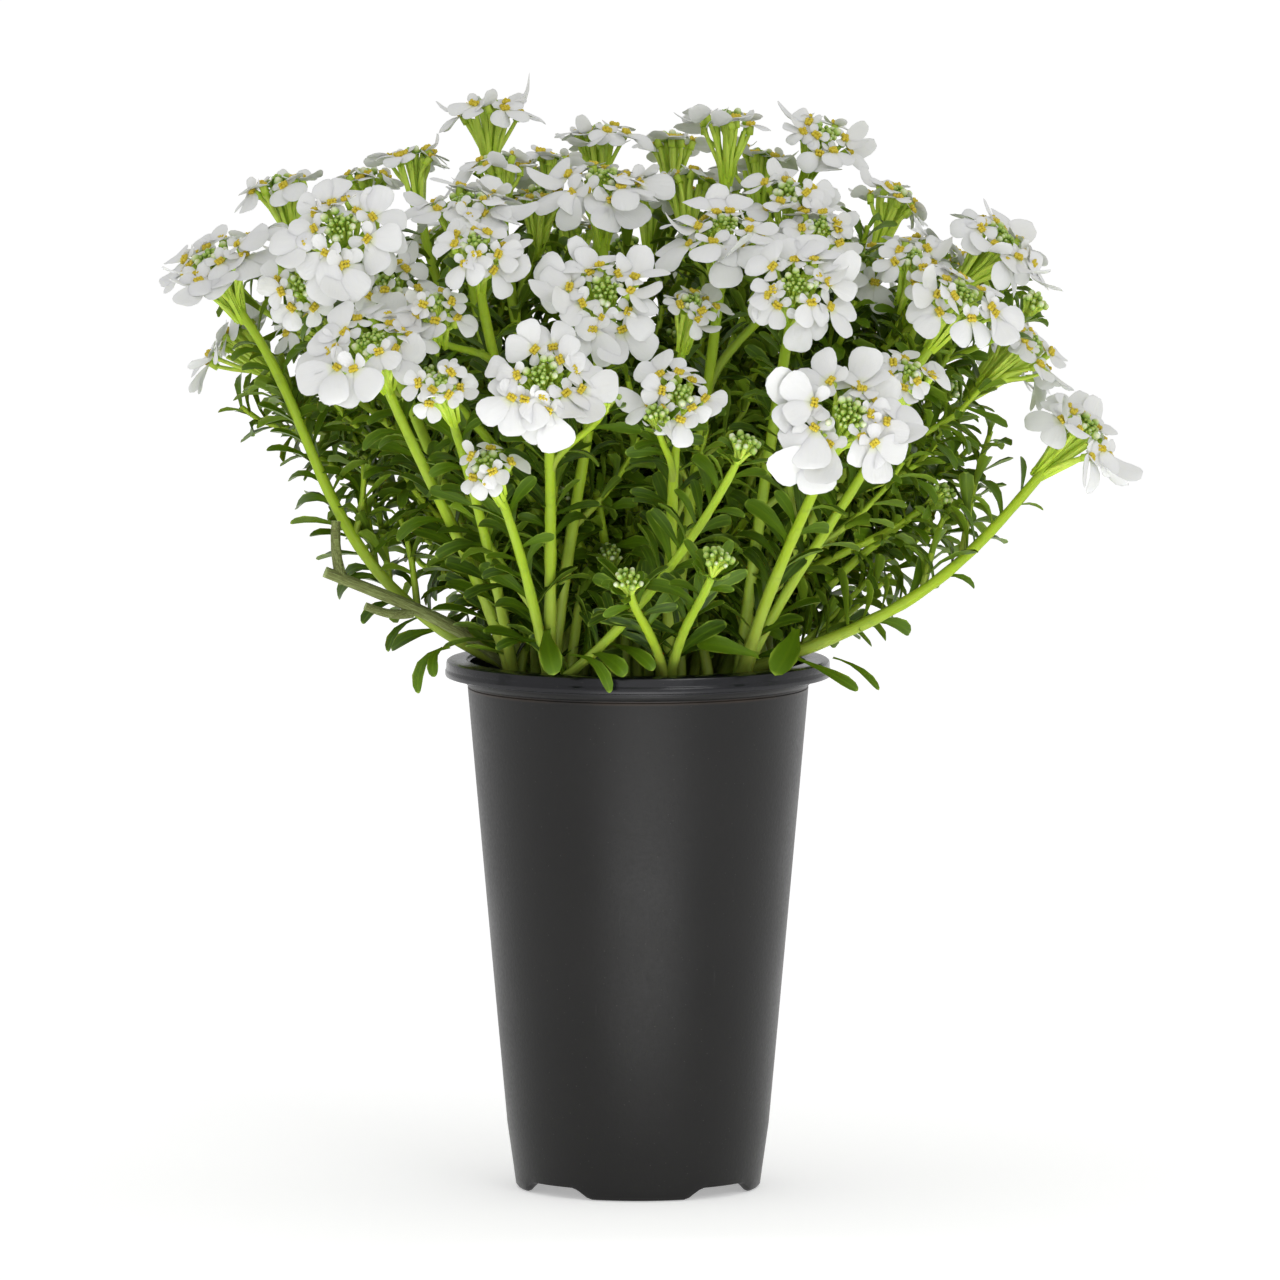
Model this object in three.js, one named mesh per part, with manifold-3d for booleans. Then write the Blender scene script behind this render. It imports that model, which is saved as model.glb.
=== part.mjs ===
// A candytuft in full bloom, in a tall round nursery pot. Millimetres, +Z up. The pot stands on Z = 0
// with its axis on Z, and the front faces -Y.
import * as THREE from 'three';
import { mergeVertices } from 'three/addons/utils/BufferGeometryUtils.js';
import Module from 'manifold-3d';

const wasm = await Module();
wasm.setup();

// The pot and its soil.
const POT_HEIGHT = 165;
const POT_SIDES = 30;
const RIM_RADIUS = 60;
const RIM_DROP = 5.3;
const NECK_RADIUS = 54;
const NECK_DROP = 8.5;
const LEDGE_HEIGHT = 2;
const WALL = 1.5;
const WALL_TOP_RADIUS = 53;
const WALL_LOW_RADIUS = 40.8;
const WALL_LOW_HEIGHT = 20;
const FLOOR_HEIGHT = 4.5;
const FOOT_RADIUS = 38.2;
const FOOT_WIDTH = 2.6;
const FOOT_COUNT = 4;
const NOTCH_HEIGHT = 3.4;
const NOTCH_WIDTH = 29;
const NOTCH_SLOPE = 1.7;
const DRAIN_RADIUS = 3.5;
const DRAIN_PLACE = 22;
const SOIL_TOP = 157;
const GAP = 0.35;

// The crowns and stems. A crown is a stem group's woody foot.
const CROWN_RADIUS = 4.2;
const CROWN_DEPTH = 12;
const CROWN_RISE = 4.5;
const CROWN_SIDES = 6;
const STEM_RADIUS = 2.2;
const STEM_TAPER = 0.1;
const STEM_START = 2.2;
const STEM_LEAVE = 0.75;
const STEM_REACH = 0.36;
const STEM_ARRIVE = 0.8;
const STEM_SWING = 0.26;
const ROW_LENGTH = 46;
const TUFT_RADIUS = 4.2;
const TUFT_BUMP = 1.2;
const TUFT_HEIGHT = 9;

// The flower heads. Shares are of the head's radius unless they say otherwise.
const LARGE_HEAD = 17;
const RING_SHARE = 0.515;
const CORE_SHARE = 0.45;
const CORE_HEIGHT = 2.4;
const CORE_DEPTH = 1.2;
const ROOT_SHARE = 0.17;
const FAN_HEIGHT = 15;
const FAN_RIBS = 3;
const FAN_SHARE = 0.39;
const FAN_VALLEY = 0.4;
const PETAL_THICKNESS = 0.9;
const FLORET_LEAN = [8, 26];
const FLORET_ROLL = [9, 15];
const FLORET_SIZE = [1, 1.12];

// The leaves. Shares are of the leaf's length.
const LEAF_LENGTH = 27;
const LEAF_HALF_WIDTH = 3.1;
const LEAF_KEEL = 0.7;
const LEAF_CROWN = 0.3;
const LEAF_STEP = 4.8;
const LEAF_EVERY = 4;
const LEAF_SEED = 3;
const LEAF_SIZE = [0.78, 1.18];
const LEAF_WIDTH = [0.8, 1.2];
const LEAF_RISE = [0.3, 0.6];
const LEAF_DROOP = [-0.3, 0.3];
const LEAFY_SHARE = 0.86;
const GOLDEN_ANGLE = 2.399963;

// Each spray is one crown at a place on the soil, with the stems that branch from it. A stem ends in a
// flower head or in a tuft of closed buds. A head has the place of its middle, its radius, how far its
// face tips from level, and the direction that it tips to, counted in degrees from +X towards +Y, so
// that 270 faces the front. A stem that leaves the soil low has a bow: the point that it first makes for,
// and for some the point from which it makes for its end.
const SPRAYS = [
  { crown: [-27, -34], stems: [
    { head: [-29, -115, 262], radius: 19.5, tip: 62, facing: 265 },
    { head: [-10, -84, 285], radius: 19.5, tip: 55, facing: 272 },
    { head: [-46, -100, 234], radius: 11, tip: 50, facing: 250 },
    { buds: [32, -114, 241], tip: 35, facing: 300, bow: [[-8, -58, 172]] } ] },
  { crown: [-38, -20], stems: [
    { head: [-81, -86, 270], radius: 21, tip: 42, facing: 250 },
    { head: [-91, -66, 304], radius: 20.5, tip: 58, facing: 262 },
    { head: [-60, -107, 259], radius: 10.5, tip: 50, facing: 255 } ] },
  { crown: [9, -40], stems: [
    { head: [13, -108, 256], radius: 14.5, tip: 55, facing: 275 },
    { head: [26, -48, 302], radius: 21, tip: 28, facing: 275 },
    { buds: [24, -110, 206], tip: 40, facing: 290 },
    { buds: [-3, -104, 199], tip: 50, facing: 265 } ] },
  { crown: [31, -30], stems: [
    { head: [48, -90, 287], radius: 18.5, tip: 58, facing: 275 },
    { head: [63, -115, 250], radius: 22, tip: 58, facing: 282 },
    { head: [82, -76, 260], radius: 12.5, tip: 30, facing: 300 } ] },
  { crown: [26, -10], stems: [
    { head: [138, -28, 239], radius: 18.5, tip: 48, facing: 335, bow: [[82, -36, 170], [92, -18, 184]] },
    { head: [99, -60, 282], radius: 18, tip: 42, facing: 310 } ] },
  { crown: [41, 8], stems: [
    { head: [112, -18, 297], radius: 19, tip: 42, facing: 335 },
    { head: [122, 0, 263], radius: 15.5, tip: 50, facing: 350 },
    { head: [118, 48, 258], radius: 17, tip: 48, facing: 20 } ] },
  { crown: [20, 4], stems: [
    { head: [58, 28, 326], radius: 15, tip: 38, facing: 300 },
    { head: [80, 8, 309], radius: 13, tip: 20, facing: 20 },
    { head: [68, -12, 290], radius: 17, tip: 28, facing: 300 },
    { head: [95, 62, 286], radius: 18, tip: 35, facing: 35 } ] },
  { crown: [0, -12], stems: [
    { head: [-11, -14, 315], radius: 20, tip: 18, facing: 270 },
    { head: [28, 20, 332], radius: 14.5, tip: 8, facing: 80 },
    { head: [17, -62, 280], radius: 11, tip: 35, facing: 290 } ] },
  { crown: [-20, -4], stems: [
    { head: [-53, -36, 309], radius: 20, tip: 16, facing: 262 },
    { head: [-43, 6, 319], radius: 13.5, tip: 8, facing: 110 },
    { head: [-49, -80, 299], radius: 14, tip: 45, facing: 268 } ] },
  { crown: [-30, 1], stems: [
    { head: [-132, -11, 290], radius: 20.5, tip: 30, facing: 215, bow: [[-104, -10, 185], [-94, -4, 238]] },
    { head: [-112, 40, 310], radius: 14.5, tip: 16, facing: 150 },
    { head: [-105, 4, 272], radius: 11.5, tip: 50, facing: 200 } ] },
  { crown: [-16, 20], stems: [
    { head: [-86, 62, 311], radius: 12.5, tip: 12, facing: 130 },
    { head: [-70, 27, 320], radius: 13.5, tip: 10, facing: 120 },
    { head: [-47, 46, 334], radius: 16, tip: 10, facing: 110 },
    { head: [-13, 58, 325], radius: 14.5, tip: 8, facing: 100 } ] },
  { crown: [-33, 28], stems: [
    { head: [-100, 77, 272], radius: 18, tip: 40, facing: 140 },
    { head: [-127, 46, 262], radius: 17, tip: 50, facing: 165 },
    { head: [-67, 107, 252], radius: 17, tip: 50, facing: 122 } ] },
  { crown: [-4, 41], stems: [
    { head: [-22, 104, 290], radius: 18, tip: 36, facing: 100 },
    { head: [-1, 117, 248], radius: 18, tip: 54, facing: 90 },
    { head: [11, 79, 321], radius: 12.5, tip: 14, facing: 90 },
    { head: [-60, 92, 292], radius: 17.5, tip: 32, facing: 120 } ] },
  { crown: [27, 30], stems: [
    { head: [65, 92, 288], radius: 18, tip: 34, facing: 55 },
    { head: [38, 68, 306], radius: 15.5, tip: 20, facing: 75 },
    { head: [22, 108, 282], radius: 18, tip: 40, facing: 80 },
    { head: [70, 105, 250], radius: 17, tip: 50, facing: 58 } ] },
];

// The outline of one floret, from one small inner petal round by the two large outer ones to the other
// small one. Each point is its angle from the outward direction in degrees, its reach as a share of
// the large petal's length, and how high it stands as the same share.
const FLORET_RIM = [
  [222, 0.55, 0.14], [258, 0.33, 0], [301, 0.96, -0.08], [349, 0.92, 0], [0, 0.5, 0],
  [11, 0.92, 0], [59, 0.96, -0.08], [102, 0.33, 0], [138, 0.55, 0.14],
];

const DEGREE = Math.PI / 180;
const UP = new THREE.Vector3(0, 0, 1);

// The sum of vectors, each with its own weight.
function blend(...pairs) {
  const sum = new THREE.Vector3();
  for (const [vector, weight] of pairs) sum.addScaledVector(vector, weight);
  return sum;
}

// A direction in the plane of two others, at an angle from the first towards the second.
function turnedFrom(first, second, angle) {
  return blend([first, Math.cos(angle)], [second, Math.sin(angle)]);
}

// A stream of random numbers from 0 to 1, always the same for one seed.
function randomFrom(seed) {
  let state = seed >>> 0;
  return () => {
    state = (state + 0x6d2b79f5) >>> 0;
    let mixed = Math.imul(state ^ (state >>> 15), state | 1);
    mixed = (mixed ^ (mixed + Math.imul(mixed ^ (mixed >>> 7), mixed | 61))) >>> 0;
    return ((mixed ^ (mixed >>> 14)) >>> 0) / 2 ** 32;
  };
}

function between([low, high], random) {
  return low + (high - low) * random();
}

function solidOf(geometry) {
  geometry.deleteAttribute('normal');
  geometry.deleteAttribute('uv');
  const merged = mergeVertices(geometry, 1e-3);
  const vertProperties = merged.attributes.position.array;
  const triVerts = new Uint32Array(merged.index.array);
  return new wasm.Manifold(new wasm.Mesh({ numProp: 3, vertProperties, triVerts }));
}

function meshOf(name, solid, material) {
  const data = solid.getMesh();
  const geometry = new THREE.BufferGeometry();
  geometry.setAttribute('position', new THREE.BufferAttribute(data.vertProperties, 3));
  geometry.setIndex(new THREE.BufferAttribute(data.triVerts, 1));
  geometry.computeVertexNormals();
  const mesh = new THREE.Mesh(geometry, material);
  mesh.name = name;
  return mesh;
}

// A solid from a geometry whose every vertex goes to the place that a function gives for it.
function reshaped(geometry, place) {
  const position = geometry.attributes.position;
  for (let i = 0; i < position.count; i += 1) {
    const moved = place(position.getX(i), position.getY(i), position.getZ(i));
    position.setXYZ(i, moved.x, moved.y, moved.z);
  }
  return solidOf(geometry);
}

// What stands where: balls, sorted into the cells of a grid, each with the name of its owner.
const CELL = 6;
const crowd = new Map();

function cellOf(point) {
  return point.clone().divideScalar(CELL).floor();
}

function occupy(balls, owner) {
  for (const ball of balls) {
    const key = cellOf(ball.at).toArray().join();
    if (!crowd.has(key)) crowd.set(key, []);
    crowd.get(key).push({ ...ball, owner });
  }
}

// All that stands in a point's cell and in the cells round it.
function neighbours(point) {
  const { x, y, z } = cellOf(point);
  const steps = [-1, 0, 1];
  const keys = steps.flatMap((i) => steps.flatMap((j) => steps.map((k) => [x + i, y + j, z + k].join())));
  return keys.flatMap((key) => crowd.get(key) ?? []);
}

// Whether balls keep clear of all that stands already, apart from what the named owners hold.
function isFree(balls, owners) {
  const meets = (ball, other) => ball.at.distanceTo(other.at) < ball.radius + other.radius + GAP;
  return balls.every((ball) =>
    neighbours(ball.at).every((other) => owners.includes(other.owner) || !meets(ball, other)));
}

// Whether a ball keeps clear of the pot's rim and wall and of the soil.
function clearsPot({ at, radius }) {
  const out = Math.hypot(at.x, at.y);
  const reach = radius + GAP;
  const inside = out < WALL_TOP_RADIUS - WALL - reach && at.z > SOIL_TOP + reach;
  return inside || at.z > POT_HEIGHT + reach || out > RIM_RADIUS + reach;
}

// The way that a face looks when it is tipped from level towards a direction.
function facingVector(tip, facing) {
  const out = new THREE.Vector3(Math.cos(facing * DEGREE), Math.sin(facing * DEGREE), 0);
  return turnedFrom(UP, out, tip * DEGREE);
}

// Two directions that lie in a face with this normal.
function faceAxes(normal) {
  const across = UP.clone().cross(normal).normalize();
  return [across, normal.clone().cross(across)];
}

// A shape that stands along its own Y, carried onto a face. Its size is a function that gives each
// vertex its distance from the face's middle and its height over the face.
function onFace(geometry, place, normal, size) {
  const [across, upward] = faceAxes(normal);
  return reshaped(geometry, (x, y, z) => {
    const [radius, height] = size(x, y, z);
    return blend([place, 1], [across, x * radius], [upward, -z * radius], [normal, height]);
  });
}

// Whether a vertex of a star-shaped section is on a rib.
function onRib(x, z) {
  return Math.round((Math.atan2(z, x) / Math.PI) * FAN_RIBS) % 2 === 0;
}

function fanHeight(headRadius) {
  return FAN_HEIGHT * (0.55 + headRadius / 44);
}

// The distance from a stem's end to the middle of what it carries.
function tipReach({ head, radius }) {
  return head ? fanHeight(radius) : TUFT_HEIGHT / 3;
}

// A stem's run from its crown to the foot of what it carries. It arches higher until it clears the rim.
function stemCurve([x, y], stem) {
  const start = new THREE.Vector3(x, y, SOIL_TOP + STEM_START);
  const end = blend([stem.place, 1], [stem.normal, -tipReach(stem)]);
  const span = end.distanceTo(start);
  const heading = end.clone().sub(start).normalize();
  const leave = blend([heading, STEM_LEAVE], [UP, 1 - STEM_LEAVE]).normalize();
  const arrive = blend([stem.normal, STEM_ARRIVE], [heading, 1 - STEM_ARRIVE]).normalize();
  const [low, high] = stem.bow ?? [];
  const first = low ? new THREE.Vector3(...low) : blend([start, 1], [leave, span * STEM_REACH]);
  const second = high ? new THREE.Vector3(...high) : blend([end, 1], [arrive, -span * STEM_SWING]);
  const curve = new THREE.CubicBezierCurve3(start, first, second, end);
  const touches = (ball) => ball.at.distanceTo(start) > CROWN_RADIUS && !clearsPot(ball);
  while (stemBalls(curve).some(touches)) first.z += 1;
  return curve;
}

function stemBalls(curve) {
  const count = Math.ceil(curve.getLength() / STEM_RADIUS);
  const places = Array.from({ length: count + 1 }, (_, i) => curve.getPoint(i / count));
  return places.map((at) => ({ at, radius: STEM_RADIUS }));
}

// The balls that fill a fan of flower stalks, or a tuft of buds.
function tipBalls({ head, place, normal, radius }) {
  if (!head) return [{ at: place, radius: TUFT_HEIGHT / 2 }];
  return [0.15, 0.4, 0.65, 0.85].map((share) => ({
    at: blend([place, 1], [normal, -fanHeight(radius) * (1 - share) - CORE_DEPTH]),
    radius: STEM_RADIUS + (FAN_SHARE * radius - STEM_RADIUS) * share,
  }));
}

// A vector square to the plane in which a stem mostly bends.
function bendNormal(curve) {
  return curve.getTangent(0).cross(curve.getTangent(1)).normalize();
}

// Two directions across a stem that runs along a third, the first of them in the plane of its bend.
function stemAxes(curve, along) {
  const side = along.clone().cross(bendNormal(curve)).normalize();
  return [side, side.clone().cross(along)];
}

function rowCount(curve) {
  return Math.max(3, Math.round(curve.getLength() / ROW_LENGTH));
}

// A point on the middle line of the faceted stem, which runs straight from row to row.
function stemMiddle(curve, share) {
  const rows = rowCount(curve);
  const row = Math.min(Math.floor(share * rows), rows - 1);
  return curve.getPoint(row / rows).lerp(curve.getPoint((row + 1) / rows), share * rows - row);
}

// A stem is a tube along its curve. Under a flower head it opens into the fan of flower stalks, a cone
// whose ribs are the stalks.
function stemSolid({ curve, head, place, normal, radius }) {
  const rows = rowCount(curve);
  const allRows = head ? rows + 1 : rows;
  const fanTop = blend([place, 1], [normal, -CORE_DEPTH - GAP]);
  const tube = new THREE.CylinderGeometry(1, 1, 1, 2 * FAN_RIBS, allRows);
  return reshaped(tube, (x, y, z) => {
    const row = Math.round((y + 0.5) * allRows);
    const share = Math.min(row / rows, 1);
    const inFan = row > rows;
    const [side, level] = stemAxes(curve, inFan ? normal : curve.getTangent(share));
    const stalk = FAN_SHARE * radius * (onRib(x, z) ? 1 : FAN_VALLEY);
    const wide = inFan ? stalk : STEM_RADIUS * (1 - STEM_TAPER * share);
    return blend([inFan ? fanTop : curve.getPoint(share), 1], [side, x * wide], [level, z * wide]);
  });
}

// The tight tuft of closed buds at the tip of a young stem.
function tuftSolid({ place, normal }) {
  const tuft = new THREE.SphereGeometry(1, 2 * FAN_RIBS, 3);
  return onFace(tuft, place, normal, (x, y, z) => {
    const bump = y > 0 && onRib(x, z) ? TUFT_BUMP : 0;
    return [TUFT_RADIUS + bump, (y * TUFT_HEIGHT) / 2 - 1];
  });
}

function floretCount(headRadius) {
  return headRadius >= LARGE_HEAD ? 6 : 5;
}

// One floret's middle and root, its own three directions and its petal length. It leans outwards, and
// rolls about its outward direction, so that it laps over the next one like a shingle.
function floretFrame({ place, normal, radius }, turn, random) {
  const radial = turnedFrom(...faceAxes(normal), turn);
  const lean = between(FLORET_LEAN, random) * DEGREE;
  const roll = between(FLORET_ROLL, random) * DEGREE;
  const outward = turnedFrom(radial, normal, -lean);
  const flat = turnedFrom(normal, radial, lean);
  const level = flat.clone().cross(outward);
  return {
    middle: blend([place, 1], [radial, RING_SHARE * radius]),
    root: blend([place, 1], [radial, ROOT_SHARE * radius]),
    outward,
    sideways: turnedFrom(level, flat, roll),
    face: turnedFrom(flat, level, -roll),
    petal: (((1 - RING_SHARE) * radius) / Math.cos(lean)) * between(FLORET_SIZE, random),
  };
}

// The places of a floret's rim, whose last one is its root inside the head.
function floretRim({ middle, root, outward, sideways, face, petal }) {
  const rim = FLORET_RIM.map(([angle, reach, lift]) => {
    const out = turnedFrom(outward, sideways, angle * DEGREE);
    return blend([middle, 1], [out, reach * petal], [face, lift * petal]);
  });
  return [...rim, root];
}

// A floret is a sphere of two rows, flattened to a lens whose rim follows its petals.
function floretSolid(frame) {
  const rim = floretRim(frame);
  const lens = new THREE.SphereGeometry(1, rim.length, 2);
  return reshaped(lens, (x, y, z) => {
    if (Math.abs(y) > 0.5) return blend([frame.middle, 1], [frame.face, Math.sign(y) * PETAL_THICKNESS / 2]);
    const place = Math.round((Math.atan2(-z, x) / (2 * Math.PI)) * rim.length);
    return rim[(place + rim.length) % rim.length];
  });
}

function floretBalls(frame) {
  const rim = floretRim(frame).slice(0, -1);
  const halfway = rim.map((point, i) => point.clone().lerp(rim[(i + 1) % rim.length], 0.5));
  const spokes = [...rim, ...halfway].flatMap((point) => [0.35, 0.65, 0.95].map((share) => ({
    at: frame.middle.clone().lerp(point, share),
    radius: 1.1,
  })));
  return [{ at: frame.middle, radius: 1.4 }, ...spokes];
}

// The close-set buds in the middle of a head, as a low dome with one face for each floret's root.
function coreSolid({ place, normal, radius }, start) {
  const count = floretCount(radius);
  const dome = new THREE.SphereGeometry(1, count, 2).rotateY(start + Math.PI / count - Math.PI);
  return onFace(dome, place, normal, (x, y) => {
    if (Math.abs(y) > 0.5) return [0, y > 0 ? CORE_HEIGHT : -CORE_DEPTH];
    return [CORE_SHARE * radius, (-2 / 3) * CORE_DEPTH];
  });
}

function coreBalls({ place, normal, radius }) {
  const axes = faceAxes(normal);
  const turns = Array.from({ length: 6 }, (_, i) => (i * Math.PI) / 3);
  const ring = turns.map((turn) => blend([place, 1], [turnedFrom(...axes, turn), 0.3 * radius]));
  return [place, ...ring].map((at) => ({ at, radius: CORE_HEIGHT }));
}

// A flower head: its core and its florets, each of which is turned on a little where it would meet
// another head.
function headSolid(stem) {
  const random = randomFrom(stem.number * 77 + 5);
  const start = random() * Math.PI;
  const count = floretCount(stem.radius);
  const owner = `head ${stem.number}`;
  const parts = [coreSolid(stem, start)];
  occupy(coreBalls(stem), owner);
  for (let i = 0; i < count; i += 1) {
    const turn = start + ((i + 0.2 * random() - 0.1) * 2 * Math.PI) / count;
    for (let attempt = 0; attempt < 3; attempt += 1) {
      const frame = floretFrame(stem, turn + attempt * 0.16, random);
      const balls = floretBalls(frame);
      if (isFree(balls, [owner, `stem ${stem.number}`])) {
        occupy(balls, owner);
        parts.push(floretSolid(frame));
        break;
      }
    }
  }
  return wasm.Manifold.union(parts);
}

// One leaf's root, bend and tip, its crosswise direction and its size, from its place on the stem. It
// leaves the stem through the middle of one of the stem's faces, the one nearest to the turn.
function leafFrame(curve, share, turn, random) {
  const root = stemMiddle(curve, share);
  const along = curve.getTangent(share);
  const face = Math.PI / FAN_RIBS;
  const heading = (Math.round(turn / face) + between([-0.15, 0.15], random)) * face;
  const out = turnedFrom(...stemAxes(curve, along), heading);
  const lift = blend([along, 0.7], [UP, 0.3]).normalize();
  const length = LEAF_LENGTH * between(LEAF_SIZE, random) * (1.1 - 0.45 * share);
  const rise = length * between(LEAF_RISE, random);
  const droop = length * between(LEAF_DROOP, random);
  return {
    root,
    bend: blend([root, 1], [out, length * 0.6], [lift, rise]),
    tip: blend([root, 1], [out, length * 0.94], [lift, rise + droop]),
    crosswise: out.clone().cross(lift).normalize(),
    halfWidth: LEAF_HALF_WIDTH * between(LEAF_WIDTH, random),
  };
}

// A leaf is a long blade with a keel underneath. It widens from the stem to its bend.
function leafSolid({ root, bend, tip, crosswise, halfWidth }) {
  const blade = new THREE.SphereGeometry(1, 3, 2).rotateY(Math.PI);
  const under = tip.clone().sub(root).cross(crosswise).normalize();
  return reshaped(blade, (x, y, z) => {
    if (y < -0.5) return root;
    if (y > 0.5) return tip;
    const depth = x > 0 ? LEAF_KEEL : -LEAF_CROWN;
    const edge = Math.sign(Math.round(2 * z));
    return blend([bend, 1], [under, depth], [crosswise, edge * halfWidth]);
  });
}

function leafBalls({ root, bend, tip, halfWidth }) {
  const shares = [0.15, 0.3, 0.45, 0.6, 0.75, 0.9];
  const ball = (from, share, radius) => ({ at: from.clone().lerp(bend, share), radius });
  const inner = shares.map((share) => ball(root, share, 0.9 + 0.6 * halfWidth * share));
  const outer = shares.map((share) => ball(tip, share, 0.6 + halfWidth * share));
  return [...inner, ball(bend, 0, halfWidth), ...outer, ball(tip, 0, 0.6)];
}

// The leaves of one stem. They stand a few millimetres apart, each turned on by the golden angle, and
// the model keeps one in every LEAF_EVERY of them, where it fits between its neighbours.
function stemLeaves({ curve, number }) {
  const leaves = [];
  const last = Math.floor((curve.getLength() * LEAFY_SHARE) / LEAF_STEP);
  for (let place = 1; place <= last; place += LEAF_EVERY) {
    const random = randomFrom(LEAF_SEED + number * 1000 + place);
    const share = (place * LEAF_STEP) / curve.getLength();
    for (let attempt = 0; attempt < 4; attempt += 1) {
      const leaf = leafFrame(curve, share, place * GOLDEN_ANGLE + number + attempt * 1.3, random);
      const balls = leafBalls(leaf);
      if (balls.every(clearsPot) && isFree(balls, [`stem ${number}`])) {
        occupy(balls, `leaf ${number} ${place}`);
        leaves.push(leaf);
        break;
      }
    }
  }
  return leaves;
}

// A crown, or the hole for it, from below the soil's surface to just above it.
function crownSolid([x, y], radius, depth) {
  return bar(radius, depth + CROWN_RISE, CROWN_SIDES, [x, y, SOIL_TOP + (CROWN_RISE - depth) / 2]);
}

// A spray: its crown, its stems with their fans or tufts, and its leaves.
function spraySolid({ crown, stems }) {
  const parts = [crownSolid(crown, CROWN_RADIUS, CROWN_DEPTH)];
  for (const stem of stems) {
    parts.push(stemSolid(stem));
    if (!stem.head) parts.push(tuftSolid(stem));
    parts.push(...stemLeaves(stem).map(leafSolid));
  }
  return wasm.Manifold.union(parts);
}

// The radius of the pot's outer wall at a height. It tapers a little faster near the base.
function wallRadius(height) {
  const upper = [WALL_LOW_HEIGHT, WALL_LOW_RADIUS, POT_HEIGHT - NECK_DROP, WALL_TOP_RADIUS];
  const lower = [0, FOOT_RADIUS, WALL_LOW_HEIGHT, WALL_LOW_RADIUS];
  const [bottom, bottomRadius, top, topRadius] = height < WALL_LOW_HEIGHT ? lower : upper;
  return bottomRadius + ((topRadius - bottomRadius) * (height - bottom)) / (top - bottom);
}

// A profile of radius and height pairs, turned about Z.
function turned(profile) {
  const points = profile.map(([radius, height]) => new THREE.Vector2(radius, height));
  return solidOf(new THREE.LatheGeometry(points, POT_SIDES).rotateX(Math.PI / 2));
}

// A bar along Z, with its middle at a place.
function bar(radius, height, sides, place) {
  const column = new THREE.CylinderGeometry(radius, radius, height, sides);
  return solidOf(column.rotateX(Math.PI / 2).translate(...place));
}

// The gap between two feet: a low block with sloped ends, through the wall's lower edge.
function notchSolid(turn) {
  const half = (height) => NOTCH_WIDTH / 2 - height * NOTCH_SLOPE;
  const outline = new THREE.Shape([
    new THREE.Vector2(-half(-1), -1),
    new THREE.Vector2(half(-1), -1),
    new THREE.Vector2(half(NOTCH_HEIGHT), NOTCH_HEIGHT),
    new THREE.Vector2(-half(NOTCH_HEIGHT), NOTCH_HEIGHT),
  ]);
  const block = new THREE.ExtrudeGeometry(outline, { depth: 6 * FOOT_WIDTH, bevelEnabled: false });
  block.rotateX(Math.PI / 2).rotateZ(Math.PI / 2).translate(FOOT_RADIUS - 4 * FOOT_WIDTH, 0, 0);
  return solidOf(block.rotateZ(turn));
}

// The pot's shell, with its turned-down rim, its neck over a small ledge, and its raised floor. The
// gaps between its feet and its drain holes are cut out.
function potSolid() {
  const footInside = FOOT_RADIUS - FOOT_WIDTH;
  const rimInside = RIM_RADIUS - WALL;
  let pot = turned([
    [0, FLOOR_HEIGHT],
    [footInside - 1, FLOOR_HEIGHT],
    [footInside, 0],
    [FOOT_RADIUS, 0],
    [WALL_LOW_RADIUS, WALL_LOW_HEIGHT],
    [WALL_TOP_RADIUS, POT_HEIGHT - NECK_DROP],
    [NECK_RADIUS, POT_HEIGHT - NECK_DROP + LEDGE_HEIGHT],
    [NECK_RADIUS, POT_HEIGHT - WALL],
    [rimInside, POT_HEIGHT - WALL],
    [rimInside, POT_HEIGHT - RIM_DROP],
    [RIM_RADIUS, POT_HEIGHT - RIM_DROP],
    [RIM_RADIUS, POT_HEIGHT],
    [wallRadius(POT_HEIGHT) - WALL, POT_HEIGHT],
    [WALL_LOW_RADIUS - WALL, WALL_LOW_HEIGHT],
    [wallRadius(FLOOR_HEIGHT) - WALL, FLOOR_HEIGHT + WALL],
    [0, FLOOR_HEIGHT + WALL],
  ]);
  for (let i = 0; i < FOOT_COUNT; i += 1) {
    const turn = ((i + 0.5) * 2 * Math.PI) / FOOT_COUNT;
    const drain = [DRAIN_PLACE * Math.cos(turn), DRAIN_PLACE * Math.sin(turn), FLOOR_HEIGHT];
    pot = pot.subtract(notchSolid(turn)).subtract(bar(DRAIN_RADIUS, 4 * WALL, 8, drain));
  }
  return pot;
}

// The soil fills the pot to just under its rim, with a plain hole for each crown.
function soilSolid() {
  const bottom = FLOOR_HEIGHT + WALL + GAP;
  const reach = (height) => wallRadius(height) - WALL - 2 * GAP;
  const soil = turned([
    [0, bottom],
    [reach(bottom), bottom],
    [reach(WALL_LOW_HEIGHT), WALL_LOW_HEIGHT],
    [reach(SOIL_TOP), SOIL_TOP],
    [0, SOIL_TOP],
  ]);
  const hole = ({ crown }) => crownSolid(crown, CROWN_RADIUS + 1.3 * GAP, CROWN_DEPTH + GAP);
  return SPRAYS.reduce((left, spray) => left.subtract(hole(spray)), soil);
}

function finish(name, color, roughness) {
  return new THREE.MeshStandardMaterial({ name, color, roughness, metalness: 0 });
}

const plastic = finish('pot_plastic', 0x2c2b2c, 0.45);
const earth = finish('soil', 0x1c1511, 1);
const green = finish('leaf_green', 0x4d7a1f, 0.5);
const white = finish('petal_white', 0xf4f5f2, 0.6);

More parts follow.
